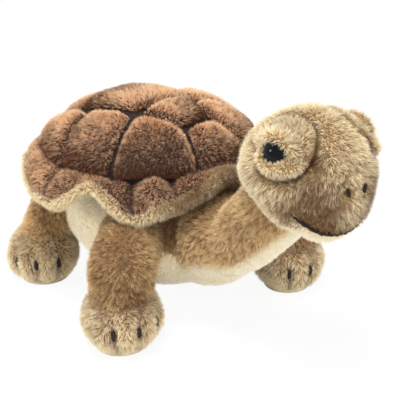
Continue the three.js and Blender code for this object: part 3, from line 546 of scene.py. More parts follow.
def pile(name, skin, body, slot, length, density, comb, tone, keep, lean=0.8, width=0.24, gather=0.62,
         lock=(2.3, 4.6), way=(0.0, 0.1, -1.0), stray=0.26, swirl=1.3, depth=0.6, look=None):
    """Strands on a skin, about so many to a square millimetre; comb, tone and keep take roots and normals."""
    root, normal = scattered(skin, density, keep)
    count = len(root)
    middle, number, far = nearest_lock(root + 0.5 * rng.normal(size=(count, 3)) * lock[0] / 3, *lock, way)
    brushed = comb(root, normal)
    brushed = unit(brushed - normal * dot(brushed, normal)[:, None])
    side = np.cross(normal, brushed)
    swing = (number[:, 0] - 0.5) * swirl
    brushed = brushed * np.cos(swing)[:, None] + side * np.sin(swing)[:, None]
    direction = unit(normal + brushed * lean + rng.normal(size=(count, 3)) * stray)
    long = length(root, normal) if callable(length) else np.full(count, float(length))
    long = long * (0.75 + 0.3 * number[:, 1] + 0.25 * rng.random(count))
    pull = middle - root
    pull -= normal * dot(pull, normal)[:, None]
    pull -= brushed * dot(pull, brushed)[:, None] * 0.6
    tip = root + direction * long[:, None] + pull * gather
    axis = unit(tip - root)
    first = unit(np.cross(axis, rng.normal(size=(count, 3))))
    second = np.cross(axis, first)
    radius = width * (0.8 + 0.4 * rng.random(count)) * THICKER
    points = np.empty((count, 4, 3))
    for k in range(3):
        turn = 2 * np.pi * k / 3
        spoke = first * math.cos(turn) + second * math.sin(turn)
        points[:, k] = root - normal * 0.5 + spoke * radius[:, None]
    points[:, 3] = tip
    faces = (np.arange(count)[:, None, None] * 4 + STRAND[None]).reshape(-1, 3)
    # Strands far from their lock's middle are darker by depth: painted shade in the gaps between locks. Each
    # part's tone adds its uneven colour and, on most parts, the light and shade painted on it.
    level = MIDDLE_TONE + 0.3 * (number[:, 2] - 0.5) + 0.1 * rng.normal(size=count) - depth * (far - 0.45)
    level = level + tone(root, normal)
    column = np.clip(np.floor(level * TONES), 0, TONES - 1)
    u = (column[:, None] + STRAND_U) / TONES
    v = np.tile(STRAND_V, (count, 1))
    corner_uv = np.stack([u, v], -1)[:, STRAND].reshape(-1, 2)
    piece(name, (points.reshape(-1, 3), faces), PILE[look or slot], body, corner_uv)


def cover(name, skin, body, slot, nodes, look=None):
    obj = piece(name, skin, GROUND[look or slot], body)
    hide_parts(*nodes)


def plush(name, skin, body, slot, length, density, comb, tone, keep, nodes=(), fill=0.9, ground=None, **habit):
    """A padded skin with its pile, in the place of the CAD node of that name or of those given."""
    cover(name + "_skin", skin, body, slot, nodes or [name], ground)
    pile(name + "_pile", skin, body, slot, length, density, comb, tone, keep, **habit)


def stitch(node, points, radii, body):
    """A dark sewn thread, in the place of its CAD node."""
    obj = piece(node + "_stitch", tube(points, radii), THREAD, body)
    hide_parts(node)


def brushed_along(*way):
    return lambda p, n: np.tile(way, (len(p), 1))


downwards = brushed_along(0.0, 0.15, -1.0)


# Shell
SHELL_HALF = np.array([79.0, 83.0, 43.0])
SHELL_CENTRE = np.array([0, 18.0, 103.0])
TWIST = math.radians(10)
SCUTE_SEAT, SCUTE_CHANNEL, SCUTE_EDGE, SCUTE_CROWN = 0.7, 4.4, 0.8, 7.4
# Corners of the scutes on the dome seen from above, as shares of its half sizes
SCUTES = {
    "vertebral_1": [(-0.12, -0.42), (0.12, -0.42), (0.3, -0.9), (-0.3, -0.9)],
    "vertebral_2": [(-0.22, -0.12), (0.22, -0.12), (0.12, -0.42), (-0.12, -0.42)],
    "vertebral_3": [(-0.31, 0.4), (0.31, 0.4), (0.22, -0.12), (-0.22, -0.12)],
    "vertebral_4": [(-0.27, 0.91), (0.27, 0.91), (0.31, 0.4), (-0.31, 0.4)],
}
COSTALS = {
    "costal_1": [(0.12, -0.42), (0.22, -0.12), (0.85, -0.415), (0.3, -0.9)],
    "costal_2": [(0.22, -0.12), (0.32, 0.17), (0.95, 0.04), (0.85, -0.415)],
    "costal_3": [(0.32, 0.17), (0.31, 0.4), (0.785, 0.54), (0.95, 0.04)],
    "costal_4": [(0.31, 0.4), (0.27, 0.91), (0.56, 0.77), (0.785, 0.54)],
}
for key, corners in COSTALS.items():
    for side_word, side in SIDES.items():
        SCUTES[key + "_" + side_word] = [(side * x, y) for x, y in corners]


def dome_point(side, length, lift):
    reach = np.hypot(side, length)
    fall = reach * np.pi / 2
    safe = np.maximum(reach, 1e-9)
    out = np.stack([np.sin(fall) * side / safe, np.sin(fall) * length / safe, np.cos(fall)], -1)
    return SHELL_CENTRE + out * SHELL_HALF + unit(out / SHELL_HALF) * np.asarray(lift)[..., None]


def over_dome(p):
    """Height of points over the dome."""
    q = (p - SHELL_CENTRE) / SHELL_HALF
    level = np.linalg.norm(q, axis=1)
    return (level - 1) * level / np.maximum(np.linalg.norm(q / SHELL_HALF, axis=1), 1e-6)


def twisted(x, y):
    return x * math.cos(TWIST) - y * math.sin(TWIST), x * math.sin(TWIST) + y * math.cos(TWIST)


def scute(corners):
    """A puffed pad between its corners, and a point over its middle."""
    corners = np.array(corners)
    middle = corners.mean(0)
    size = np.hypot(*(corners[0] - corners[2])) / 2
    shrink = 1 - SCUTE_CHANNEL / (SHELL_HALF[:2].mean() * math.pi * size / 2)

    def point(s, t, skin):
        a = s * np.sqrt(1 - 0.1 * t * t)
        b = t * np.sqrt(1 - 0.1 * s * s)
        weights = [(1 - a) * (1 - b), (1 + a) * (1 - b), (1 + a) * (1 + b), (1 - a) * (1 + b)]
        place = middle + shrink * (np.stack(weights, 1) / 4 @ corners - middle)
        puff = np.clip((1 - np.abs(s) ** 4.4) * (1 - np.abs(t) ** 4.4), 0, 1) ** 0.5
        uneven = 1 + 0.05 * np.sin(7 * s + 3 * t + size * 20)
        swell = (SCUTE_EDGE + (SCUTE_CROWN - SCUTE_EDGE) * puff) * uneven
        lift = SCUTE_SEAT + swell if skin else np.full(len(s), -1.0)
        return dome_point(*twisted(place[:, 0], place[:, 1]), lift)

    return pad(22, 22, point), dome_point(*twisted(*middle), 7.0)


def make_scute(key, corners):
    skin, home = scute(corners)
    slope = unit((home - SHELL_CENTRE) / SHELL_HALF ** 2)
    downhill = np.array([0, 0.2, -1.0]) + slope * (slope[2] - 0.2 * slope[1])
    fall = unit(downhill)

    # Painted light and shade: paler on the pad's crest and its upper side, darker down in the channels, on its
    # lower side and where it faces down, and paler where it faces back. The drift is an uneven tone of the
    # plush.
    def tone(p, n):
        lower = np.clip((p - home) @ fall / 24, -1, 1)
        crest_light = 0.3 * smooth((over_dome(p) - 2.5) / 5)
        crest_light_and_patches = crest_light - 0.33 + 0.12 * drift(p, 30)
        return crest_light_and_patches - 0.4 * lower - 0.6 * (n @ fall) + 0.2 * (n - slope)[:, 1]

    plush("scute_" + key, skin, "torso", "brown_plush",
          lambda p, n: 1.5 + 1.5 * smooth((over_dome(p) - 1.5) / 4), 2.1,
          lambda p, n: unit(p - home) * 0.3 + fall, tone, lambda p, n: over_dome(p) > 1.7,
          lean=0.75, width=0.23, gather=0.66, lock=(2.1, 4.4), way=downhill, swirl=1.5, depth=0.95)


def make_shell():
    turn, shares = around(96), np.arange(1, 25) / 24
    rings = [dome_point(share * np.cos(turn), share * np.sin(turn), 0.0) for share in shares]
    drop = [0, 0, 0.5]
    rings.append(rings[-1] - drop)
    skin = capped(rings, dome_point(0, 0, 0.0), SHELL_CENTRE - drop)
    cover("shell_ground", skin, "torso", "dark_fabric", ["shell_cushion"])
    for key, corners in SCUTES.items():
        make_scute(key, corners)


# Rim: its table runs from front to back, with shares of lift, reach, roll and bead
RIM_WAVE = np.array([
    [-1, 0.9, 0.75, 0.8, 0.8], [-0.85, 0.35, 0.9, 1, 1], [-0.72, -0.05, 1, 0.35, 1], [-0.65, -0.3, 1.1, 0.7, 1],
    [-0.57, -0.56, 1.1, 0.1, 0.9], [-0.35, 0.4, 0.8, 0.5, 0], [-0.14, -0.6, 1.05, 0.8, 0.3],
    [0.03, -0.5, 1.05, 0.2, 0.3], [0.16, -0.25, 0.95, 0.8, 0.4], [0.3, 0.1, 0.8, 0.25, 0.4],
    [0.5, -0.6, 1.1, 0.8, 0.6], [0.66, -0.25, 1, 0.25, 0.6], [0.82, 0, 0.9, 0.8, 0.6], [1, -0.2, 1, 0.3, 0.6],
])
LIFT, REACH, ROLL, BEAD = 1, 2, 3, 4
RIM_LIFT, RIM_REACH, RIM_LEVEL, RIM_THICK, RIM_ROLL, LINING_THICK, LINING_BEAD = 18, 17.0, 4, 5.0, 6.0, 5.0, 5.0
# Section of the rim: way out, then the shares of thickness and roll
RIM_SECTION = [(0, 0.05, 0), (0.43, 0.05, 0), (0.8, 0.05, 0), (0.93, 0.12, 0), (0.99, 0.32, 0),
               (0.97, 0.5, 0.05), (0.9, 0.62, 0.28), (0.8, 0.68, 0.56), (0.7, 0.7, 0.8), (0.56, 0.72, 0.97),
               (0.42, 0.76, 1), (0.28, 0.85, 0.94), (0.16, 1.05, 0.78), (0.06, 1.15, 0.5), (-0.1, 0.9, 0.2),
               (-0.1, 0.3, 0)]
# Section of the lining: way out, then the shares of the rim's thickness, of its own and of the bead
LINING_SECTION = [(-1, 0, 0.1, 0), (0, 0, 0.1, 0), (0.43, 0, 0.1, 0), (0.86, 0, 0.1, 0), (0.99, 0.2, 0, 0),
                  (1.05, 0.5, 0, 0), (1.11, 0.52, 0, 0), (1.17, 0.3, 0, 0), (1.21, 0, 0.15, 0.2),
                  (1.2, 0, 0.45, 0.5), (1.13, 0, 0.6, 0.72), (1.02, 0, 0.68, 0.8), (0.88, 0, 0.7, 0.72),
                  (0.7, 0, 0.7, 0.45), (0.43, 0, 0.72, 0.05), (0, 0, 0.75, 0), (-1, 0, 0.75, 0)]
# Places of the seams that part the rim's rolls, and how deep each is
RIM_SEAMS = [(-0.75, 0.8), (-0.53, 0.9), (-0.42, 0.4), (-0.07, 0.7), (0.33, 0.6), (0.66, 0.6)]


def front_to_back(turn):
    """Place along either side of the shell, from -1 at the front to 1 at the back."""
    return np.arcsin(np.sin(turn)) / (np.pi / 2)


def rim_wave(turn, column):
    share = front_to_back(turn)
    k = np.clip(np.searchsorted(RIM_WAVE[:, 0], share, side="left") - 1, 0, len(RIM_WAVE) - 2)
    low, high = RIM_WAVE[k], RIM_WAVE[k + 1]
    return low[:, column] + (high - low)[:, column] * smooth((share - low[:, 0]) / (high - low)[:, 0])


def rim_line(turn, on):
    """Points and ways outwards on the rim's middle surface, which leaves the dome level and flares out."""
    outward = unit(np.stack([np.cos(turn) / SHELL_HALF[0], np.sin(turn) / SHELL_HALF[1], 0 * turn], -1))
    root = dome_point(np.cos(turn), np.sin(turn), SCUTE_SEAT)
    bend = root + outward * RIM_LEVEL
    edge = root + outward * (RIM_REACH * rim_wave(turn, REACH))[:, None]
    edge[:, 2] += RIM_LIFT * rim_wave(turn, LIFT) + 0.5 * np.sin(turn * 17) + 0.4 * np.sin(turn * 29 + 1)
    point = (1 - on) ** 2 * root + 2 * on * (1 - on) * bend + on * on * edge
    return point, unit((1 - on) * (bend - root) + on * (edge - bend)), outward, root


def rim_point(turn, across, rise):
    point, along, outward, root = rim_line(turn, min(max(across, 0), 1))
    if across < 0:
        return root + outward * across * 6 + np.array([0, 0, 1]) * rise[:, None]
    ahead, behind = (rim_line(turn + step, min(across, 1))[0] for step in (0.025, -0.025))
    normal = unit(np.cross(along, ahead - behind))
    return point + along * RIM_REACH * max(across - 1, 0) + normal * rise[:, None]


def rim_dent(turn, wide):
    place = front_to_back(turn)
    return sum(deep * bump(place - seam, wide) for seam, deep in RIM_SEAMS)


def seen_from_above(p):
    """Place of points in the shell's plan, as shares of its half sizes, and how far out they lie."""
    q = (p - SHELL_CENTRE)[:, :2] / SHELL_HALF[:2]
    return q, np.linalg.norm(q, axis=1)


def make_rim():
    turn = around(320)
    middle_pad = 0.45 * bump(front_to_back(turn) + 0.64, 0.08)
    roll = RIM_ROLL * (0.5 + 0.85 * rim_wave(turn, ROLL) + middle_pad - 1.1 * rim_dent(turn, 0.042))
    bead = LINING_BEAD * rim_wave(turn, BEAD)
    upper = hoop([rim_point(turn, out, RIM_THICK * thick + roll * share) for out, thick, share in RIM_SECTION])
    lining = hoop([rim_point(turn, out, RIM_THICK * rim - LINING_THICK * thick - bead * share - 0.4)
                   for out, rim, thick, share in LINING_SECTION])

    def outwards(p, n):
        return unit((p - SHELL_CENTRE) * [1, 1, 0]) * 0.7 + [0, 0, -0.5]

    def hanging(p, n):
        """Longer at the outer edge beside the neck."""
        front = smooth((64 - np.abs(p[:, 0])) / 24) * (p[:, 1] < 0)
        return 2.6 + 3.4 * front * smooth((0.8 - n[:, 2]) / 0.5)

    # Painted light and shade on the rolls: paler where they face up, darker in the seams between them and along
    # their inner edge by the scutes; the drift is an uneven tone.
    def brown_light_and_shade(p, n):
        q, out = seen_from_above(p)
        seam_shade = rim_dent(np.arctan2(q[:, 1], q[:, 0]), 0.026)
        inner = 1 - smooth((out - 1.0) / 0.06)
        return 0.14 * drift(p, 26) + 0.5 * n[:, 2] - 0.3 - 0.5 * seam_shade - 0.36 * inner

    plush("rim_upper", upper, "torso", "brown_plush", hanging, 2.2, outwards, brown_light_and_shade,
          lambda p, n: n[:, 2] > -0.3, ["shell_rim"], 0.6, lean=0.7, lock=(2.0, 3.4), swirl=1.6)

    def tan_tone_and_shade(p, n):
        """Darker towards the neck: a painted shade under the rim beside the neck."""
        return 0.14 * drift(p, 24) + 0.36 - 0.7 * smooth((62 - np.abs(p[:, 0])) / 26) * (p[:, 1] < 0)

    def tan_keep(p, n):
        facing = dot(n[:, :2], unit((p - SHELL_CENTRE)[:, :2]))
        return (seen_from_above(p)[1] > 1.04) & (facing > -0.35)

    plush("rim_lining", lining, "torso", "tan_plush", 3.0, 2.0, outwards, tan_tone_and_shade, tan_keep,
          ["shell_rim_lining"], 0.6, "head_plush", lean=0.5, lock=(2.0, 2.8), swirl=2.0, stray=0.35, depth=0.45,
          look="head_plush")


# Body: the belly panel's seam is where the body meets a long round drawn from the side
BELLY_ALONG, BELLY_UP, BELLY_REACH = 4, -25, 112


def body_surface(polar, turn, inset):
    return lump_point(BODY_CENTRE, BODY_HALF - inset, BODY_SQUARE, polar, turn)


def is_belly(p):
    return np.hypot(p[:, 1] - BELLY_ALONG, p[:, 2] - BELLY_UP) < BELLY_REACH


def make_body():
    skin = filleted(lump(BODY_CENTRE, BODY_HALF - 2.8, BODY_SQUARE), LIMBS, LEG_FILLET)

    # Darker towards the top of the body: painted shade under the shell's rim.
    def shade_under_rim(p, n):
        return 0.14 * drift(p, 30) - 0.5 * smooth((p[:, 2] - 62) / 16)

    def keep(p, n):
        return ~is_belly(p) & (over_dome(p) > -1) & (p[:, 2] < 104) & ~buried(p, LIMBS, 6)

    plush("body_cover", skin, "torso", "tan_plush", 3.8, 1.6, downwards, shade_under_rim, keep,
          ["body_cover", "body_filling"], depth=0.8)


def make_belly():
    columns, rows = 96, 26
    turn = around(columns)
    # The panel's edge at each turn, found by halving
    low, high = np.full(columns, 0.05), np.full(columns, np.pi)
    for _ in range(30):
        mid = (low + high) / 2
        inside = is_belly(body_surface(mid, turn, 2.4))
        high = np.where(inside, mid, high)
        low = np.where(inside, low, mid)

    def ring(share, inset):
        return body_surface(np.pi - share * (np.pi - high), turn, inset)

    shares = [(row / rows) ** 0.9 for row in range(1, rows + 1)]
    rings = [ring(share, 1.6 + 1.8 * smooth((share - 0.96) / 0.04)) for share in shares]
    rings += [ring(share, 5.5) for share in (0.995, 0.7, 0.35)]
    bottom = body_surface(np.array([np.pi]), np.zeros(1), 1.6)[0]
    panel = filleted(capped(rings, bottom, bottom + [0, 0, 3.5]), LIMBS, LEG_FILLET)
    plush("belly_panel", panel, "torso", "cream_plush", 1.8, 1.15, downwards,
          lambda p, n: 0.06 * drift(p, 30) + 0.1,
          lambda p, n: (dot(p - BODY_CENTRE, n) > 0) & ~buried(p, LIMBS, 6),
          lean=0.9, width=0.3, gather=0.2, lock=(1.8, 2.6), swirl=0.8, depth=0.12)


# Neck, with half the throat's angle by distance along the toy
THROAT = ([-146, -134, -120, -106, -95, -85, -74], np.radians([19, 25, 31, 38, 50, 62, 70]))
NECK_STEPS = 40
NECK_FRAME = limb_frame(NECK_LINE, NECK_WIDE, NECK_HIGH, NECK_STEPS)
NECK_PATH, NECK_SIZES, NECK_ALONG, NECK_ACROSS, NECK_ABOVE = NECK_FRAME
NECK_ABOVE = NECK_ABOVE * np.sign(NECK_ABOVE[0][2])


def below_neck(p):
    """Angle of points round the neck's middle line, 0 straight below it, and the throat's edge there."""
    nearest = np.argmin(np.linalg.norm(p[:, None] - NECK_PATH[None], axis=2), axis=1)
    offset = p - NECK_PATH[nearest]
    sideways = dot(offset, NECK_ACROSS[nearest])
    upward = dot(offset, NECK_ABOVE[nearest])
    return np.abs(np.arctan2(sideways, -upward)), np.interp(NECK_PATH[nearest][:, 1], *THROAT)


def throat_point(s, t, out):
    """Points of the throat panel, which starts behind the neck's first ring, on its ball."""
    at = -9 + 47 * (t + 1) / 2
    k = np.clip(at.astype(int), 0, NECK_STEPS - 2)
    f = np.clip(at - k, 0, 1)[:, None]

    def between(values):
        return values[k] * (1 - f) + values[k + 1] * f

    centre = between(NECK_PATH)
    angle = s * np.interp(centre[:, 1], *THROAT)
    back = np.clip(-at, 0, 9) * 0.1
    centre = centre - NECK_ALONG[0] * (NECK_WIDE[0] * np.sin(back))[:, None]
    puff = np.clip((1 - s ** 4) * (1 - t ** 6), 0, 1) ** 0.5
    grow = (0.2 + 1.5 * puff if out else np.full(len(s), -1.5))[:, None]
    half = between(NECK_SIZES) * np.cos(back)[:, None] + grow
    sideways = between(NECK_ACROSS) * half[:, :1] * np.sin(angle)[:, None]
    return centre + sideways - between(NECK_ABOVE) * half[:, 1:] * np.cos(angle)[:, None]


def make_neck():
    skin = filleted(limb(NECK_LINE, NECK_WIDE, NECK_HIGH, 80, 44), ["body"], NECK_FILLET)
    throat = filleted(pad(24, 72, throat_point), ["body"], NECK_FILLET)
    comb = brushed_along(0.0, 0.5, -0.8)

    def paler_below(p, n):
        angle, edge = below_neck(p)
        return 0.14 * drift(p, 28) + 0.06 + 0.34 * (1 - smooth((angle - edge) / 0.5))

    def keep(p, n):
        angle, edge = below_neck(p)
        return ~buried(p, ["head"], 4) & ~buried(p, ["body"], 9) & (angle > edge - 0.05)

    plush("neck", skin, "neck", "tan_plush", 3.4, 1.9, comb, paler_below, keep, lock=(2.1, 4.4), depth=0.75)

    plush("throat_panel", throat, "neck", "cream_plush", 2.4, 1.8, comb,
          lambda p, n: 0.1 * drift(p, 20) - 0.04, lambda p, n: ~buried(p, ["head", "body"], 5),
          width=0.26, gather=0.4, lock=(2.0, 4.0), swirl=1.0, depth=0.25)


def make_tail():
    root = np.array([0, 85.0, 64.0])
    tip = root + [0, 26, -13]
    skin = limb([root, root * 0.4 + tip * 0.6, tip], [8.8, 6.4, 2.8], [8.8, 6.0, 2.8], 32, 16)
    plush("tail", skin, "tail", "tan_plush", 3.4, 1.8, brushed_along(0.0, 1.0, -0.5),
          lambda p, n: 0.1 * drift(p, 20), lambda p, n: p[:, 1] > 82)


# Head: ways in which it swells or narrows, with the width in radians and the height as a share of its radius
HEAD_LUMPS = [((0, -0.8, -0.6), 0.8, 0.045), ((0, -0.9, 0.45), 0.6, -0.03), ((0, 0.55, 0.84), 0.75, -0.05),
              ((0.75, -0.6, -0.2), 0.62, -0.08), ((-0.75, -0.6, -0.2), 0.62, -0.08),
              ((0.8, 0.3, -0.53), 0.72, -0.155), ((-0.8, 0.3, -0.53), 0.72, -0.155),
              ((0.45, -0.08, -0.89), 0.6, -0.15), ((-0.45, -0.08, -0.89), 0.6, -0.15)]
# Reach of the brow and of the lower lid from the eye's axis, by the angle round it, all in degrees
BROW_REACH = ([0, 27, 55, 82, 110, 130, 150, 170, 190], [20, 29, 38, 41, 39, 38, 34.5, 32, 29])
LID_REACH = ([0, 30, 68, 93, 118, 139, 153, 167, 180], [14, 14, 15.5, 17.5, 20.5, 24, 26.5, 28.5, 29])
# How much lower the brow is away from the eye
BROW_CUT = ([0, 40, 65, 125, 145, 190], [0, 0.5, 0.84, 0.84, 0.7, 0.55])
# The eye sits a little forward of the axis that the brow and lid go round
EYE_RADIUS, EYE_SHIFT, EYE_SHIFT_ANGLE = 10.0, 3.3, math.radians(158)
DOME_RADIUS, DOME_RISE, DOME_SEAT, DOME_ROWS = 7.8, 5.4, 1.2, 16
STEM_RADIUS, STEM_DEPTH = 2.2, 12.4
# The jaw's panel, seen from the side in shares of the head's radius: it fans out from a point between two ways
JAW_Y, JAW_Z, JAW_SQUARED = -0.4, -0.25, 0.16 + 0.0625
JAW_FRONT, JAW_REAR = (-0.6, -0.68), (0.35, -1.05)


def head_direction(p):
    return unit(p - HEAD_CENTRE)


def head_radius(d):
    swell = np.ones(len(d))
    for towards, wide, high in HEAD_LUMPS:
        away = np.arccos(np.clip(d @ unit(towards), -1, 1)) / wide
        swell += high * np.clip(1 - away * away, 0, 1) ** 2
    return HEAD_R * swell


def on_head(d, depth, lift=0.0):
    return HEAD_CENTRE + d * (head_radius(d) - depth + lift)[:, None]


def eye_axes(side):
    outward = unit([side * 0.84, -0.17, 0.52])
    across = unit(np.cross([0, 0, 1.0], outward)) * side
    above = unit(np.cross(outward, across)) * side
    return outward, across, above


def about_eye(d, side):
    """Angles in degrees of directions: away from an eye's axis, and round it from the rear over the top."""
    outward, across, above = eye_axes(side)
    away = np.degrees(np.arccos(np.clip(d @ outward, -1, 1)))
    return away, np.degrees(np.arctan2(d @ above, d @ across))


def from_eye(side, away, angle):
    outward, across, above = eye_axes(side)
    a, f = np.radians(away)[:, None], np.radians(angle)[:, None]
    return outward * np.cos(a) + (across * np.cos(f) + above * np.sin(f)) * np.sin(a)


def pad_reach(angle):
    upper = np.interp(np.mod(angle + 90, 360) - 90, *BROW_REACH)
    lower = np.interp(np.clip(-angle, 0, 180), *LID_REACH)
    return np.where((angle > 0) | (angle < -176), upper, lower)


def creases(d):
    """For either eye, how far directions lie from its axis and from the crease round it, and their angle."""
    for side in SIDES.values():
        away, angle = about_eye(d, side)
        yield away, away - pad_reach(angle) - 1, angle


def mouth_arc(x, share):
    """Directions on the jaw: x sideways, share from 0 on the mouth line to 1 at its back edge."""
    def hit(dy, dz):
        b = 2 * (JAW_Y * dy + JAW_Z * dz)
        a = dy * dy + dz * dz
        c = JAW_SQUARED - (1 - x * x)
        t = (-b + np.sqrt(np.maximum(b * b - 4 * a * c, 0))) / (2 * a)
        angle = np.arctan2(JAW_Z + t * dz, JAW_Y + t * dy)
        return np.where(angle > 0, angle - 2 * np.pi, angle)

    front, rear = hit(*JAW_FRONT), hit(*JAW_REAR)
    angle = front + (rear - front) * share
    reach = np.sqrt(np.maximum(1 - x * x, 0))
    return unit(np.stack([x, reach * np.cos(angle), reach * np.sin(angle)], -1))


def in_jaw(q):
    y, z = q[:, 1] - JAW_Y, q[:, 2] - JAW_Z
    behind_mouth = -JAW_FRONT[1] * y + JAW_FRONT[0] * z > 0
    before_throat = JAW_REAR[1] * y - JAW_REAR[0] * z > 0
    return behind_mouth & before_throat & (np.abs(q[:, 0]) < 0.74)


MOUTH = mouth_arc(np.linspace(-0.79, 0.79, 41), np.zeros(41))
NOSTRILS = [unit([s * 0.16, -0.985, 0.03]) for s in SIDES.values()]
HOLLOWS = [unit([s * 0.54, -0.71, 0.45]) for s in SIDES.values()]
# Places on the muzzle that get a painted shade
MUZZLE_SHADE = [unit([s * x, y, z]) for s in SIDES.values()
          for x, y, z in ((0.6, -0.79, -0.04), (0.46, -0.84, -0.26))]


def near(d, points):
    """Angle in degrees from each direction to the nearest of some directions."""
    return np.degrees(np.arccos(np.clip((d @ np.array(points).T).max(1), -1, 1)))


def make_head():
    bm = bmesh.new()
    bmesh.ops.create_icosphere(bm, subdivisions=6, radius=1.0)
    d = unit(np.array([v.co[:] for v in bm.verts]))
    tris = np.array([[v.index for v in f.verts] for f in bm.faces])
    bm.free()
    radius = head_radius(d) - SKIN_DEPTH
    radius -= (2.2 * bump(near(d, MOUTH), 2.6) + 3.0 * bump(near(d, NOSTRILS), 3.4)
               + 3.6 * bump(near(d, HOLLOWS), 8))
    for away, past, _ in creases(d):
        radius -= 5.6 * bump(past, 3.8) + 3.0 * np.exp(-(away / 12.0) ** 4)
    skin = closed(HEAD_CENTRE + d * radius[:, None], tris)

    def comb(p, n):
        q = head_direction(p)
        spread = np.clip(-q[:, 1], 0, 1) * np.sign(q[:, 0]) * 0.5 * np.abs(q[:, 0]) ** 0.5
        return np.stack([spread, np.full(len(p), 0.1), np.full(len(p), -1.0)], -1)

    def tone(p, n):
        q = head_direction(p)
        # Painted light and shade: paler towards the top, darker round the nostrils, in the hollows before the
        # eyes, on the muzzle, along the mouth and in the creases round the brows and lids, less so in the
        # crease at the rear of each brow. The drift is an uneven tone.
        level = 0.12 * drift(p, 26) + 0.16 * q[:, 2] + 0.1 - 0.2 * bump(near(q, NOSTRILS), 8)
        level -= (0.9 * bump(near(q, HOLLOWS), 9) + 0.75 * bump(near(q, MUZZLE_SHADE), 18)
                  + 0.8 * bump(near(q, MOUTH), 12))
        level += 0.3 * smooth((-0.35 - q[:, 2]) / 0.4) * smooth((q[:, 1] + 0.9) / 0.4)
        for _, past, angle in creases(q):
            rear = (angle > 0) * smooth((90 - angle) / 50)
            level -= (1.1 - 0.7 * rear) * bump(past, 4.0)
        return level + 0.1

    def keep(p, n):
        q = head_direction(p)
        eyes = np.minimum(*(away for away, _, _ in creases(q)))
        clear = (near(q, NOSTRILS) > 3.4) & (near(q, MOUTH) > 0.9)
        return ~in_jaw(q) & (eyes > 12) & clear & ~buried(p, ["neck"], 14)

    def length(p, n):
        """Short beside the mouth, the nostrils and the creases."""
        q = head_direction(p)
        short = np.minimum(near(q, MOUTH) / 9, near(q, NOSTRILS) / 12)
        for _, past, _ in creases(q):
            short = np.minimum(short, np.abs(past) / 9)
        return 3.6 * (0.2 + 0.8 * smooth(short))

    plush("head_cover", skin, "head", "head_plush", length, 1.8, comb, tone, keep,
          ["head_cover", "head_filling"], depth=0.75)


def eye_pad(side, start, end, reach_table, inner, high, peak, columns, rows):
    """A padded roll between two angles round an eye, from its inner edge out to the crease."""
    def point(s, t, skin):
        angle = start + (end - start) * (s + 1) / 2
        share = (t + 1) / 2
        outer, edge = np.interp(np.abs(angle), *reach_table), inner(angle)
        d = from_eye(side, edge + (outer - edge) * share, angle)
        ends = np.clip(1 - np.abs(s) ** 4, 0, 1) ** 0.5
        slope = np.where(share < peak, peak, 1 - peak)
        fall = np.where(share < peak, 2.2, 4.0)
        rise = np.clip(1 - np.abs((share - peak) / slope) ** fall, 0, 1) ** 0.55
        rise *= 1 - np.interp(angle, *BROW_CUT) * smooth((share - 0.1) / 0.5)
        return on_head(d, 4.6, 0.6 + high * rise * ends if skin else np.full(len(s), -1.5))

    return pad(columns, rows, point)


def lid_edge(angle):
    """Edge of the eye seen from the lids' axis."""
    f = np.radians(angle) - EYE_SHIFT_ANGLE
    return EYE_SHIFT * np.cos(f) + np.sqrt(EYE_RADIUS ** 2 - (EYE_SHIFT * np.sin(f)) ** 2)


def brow_edge(angle):
    """Inner edge of the brow, which crosses the top of the eye in a straight line."""
    return np.minimum(lid_edge(angle) - 0.4, 4.6 / np.maximum(np.sin(np.radians(angle - 4)), 0.05))


def make_eye(word, side):
    outward, across, _ = eye_axes(side)
    eye_way = from_eye(side, np.array([EYE_SHIFT]), np.degrees([EYE_SHIFT_ANGLE]))[0]
    first = unit(across - eye_way * (across @ eye_way))
    second = np.cross(eye_way, first)
    turn = around(48)
    circle = first * np.cos(turn)[:, None] + second * np.sin(turn)[:, None]

    def on_axis(height):
        return HEAD_CENTRE + eye_way * height

    rings = []
    for k in range(1, DOME_ROWS + 1):
        angle = (np.pi / 2) * (1 - k / DOME_ROWS)
        centre = on_axis(HEAD_R - DOME_SEAT + DOME_RISE * math.sin(angle))
        rings.append(centre + circle * DOME_RADIUS * math.cos(angle))
    for depth, radius in ((3.4, 7.6), (3.6, STEM_RADIUS), (STEM_DEPTH, STEM_RADIUS)):
        rings.append(on_axis(HEAD_R - depth) + circle * radius)
    dome = capped(rings, on_axis(HEAD_R + 4.2), on_axis(HEAD_R - 12.6))
    obj = piece("eye_" + word + "_dome", dome, EYE, "head")
    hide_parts("eye_" + word)

    def comb(p, n):
        q = head_direction(p)
        return q - outward * (q @ outward)[:, None] + [0, 0.05, -0.15]

    def keep(p, n):
        return dot(n, head_direction(p)) > 0.05

    def to_crease(p):
        """How far points lie from the eye's axis, and how far the crease does there."""
        away, angle = about_eye(head_direction(p), side)
        return away, pad_reach(angle)

    # Darker towards the crease round the brow and in the hollow before the eye: painted shade.
    def brow_tone_and_shade(p, n):
        away, reach = to_crease(p)
        crease = np.clip((away / reach - 0.84) * 5, 0, 1)
        return 0.12 * drift(p, 20) + 0.2 - crease - 0.8 * bump(near(head_direction(p), HOLLOWS), 9)

    def brow_length(p, n):
        away, reach = to_crease(p)
        return 3.2 * (0.3 + 0.7 * smooth((reach - away) / 6))

    # Darker towards the crease round the lid: painted shade.
    def lid_tone_and_shade(p, n):
        away, reach = to_crease(p)
        return 0.08 * drift(p, 20) + 0.36 - 0.6 * np.clip((away / reach - 0.86) * 6, 0, 1)

    brow = eye_pad(side, 4, 186, BROW_REACH, brow_edge, 8.6, 0.16, 52, 30)
    lid = eye_pad(side, 2, -182, LID_REACH, lid_edge, 6.6, 0.3, 48, 14)
    plush("brow_" + word, brow, "head", "head_plush", brow_length, 2.0, comb, brow_tone_and_shade, keep, lean=0.7)
    plush("lower_lid_" + word, lid, "head", "head_plush", 2.6, 2.4, comb, lid_tone_and_shade, keep,
          lean=0.5, lock=(1.6, 2.0), swirl=0.5)


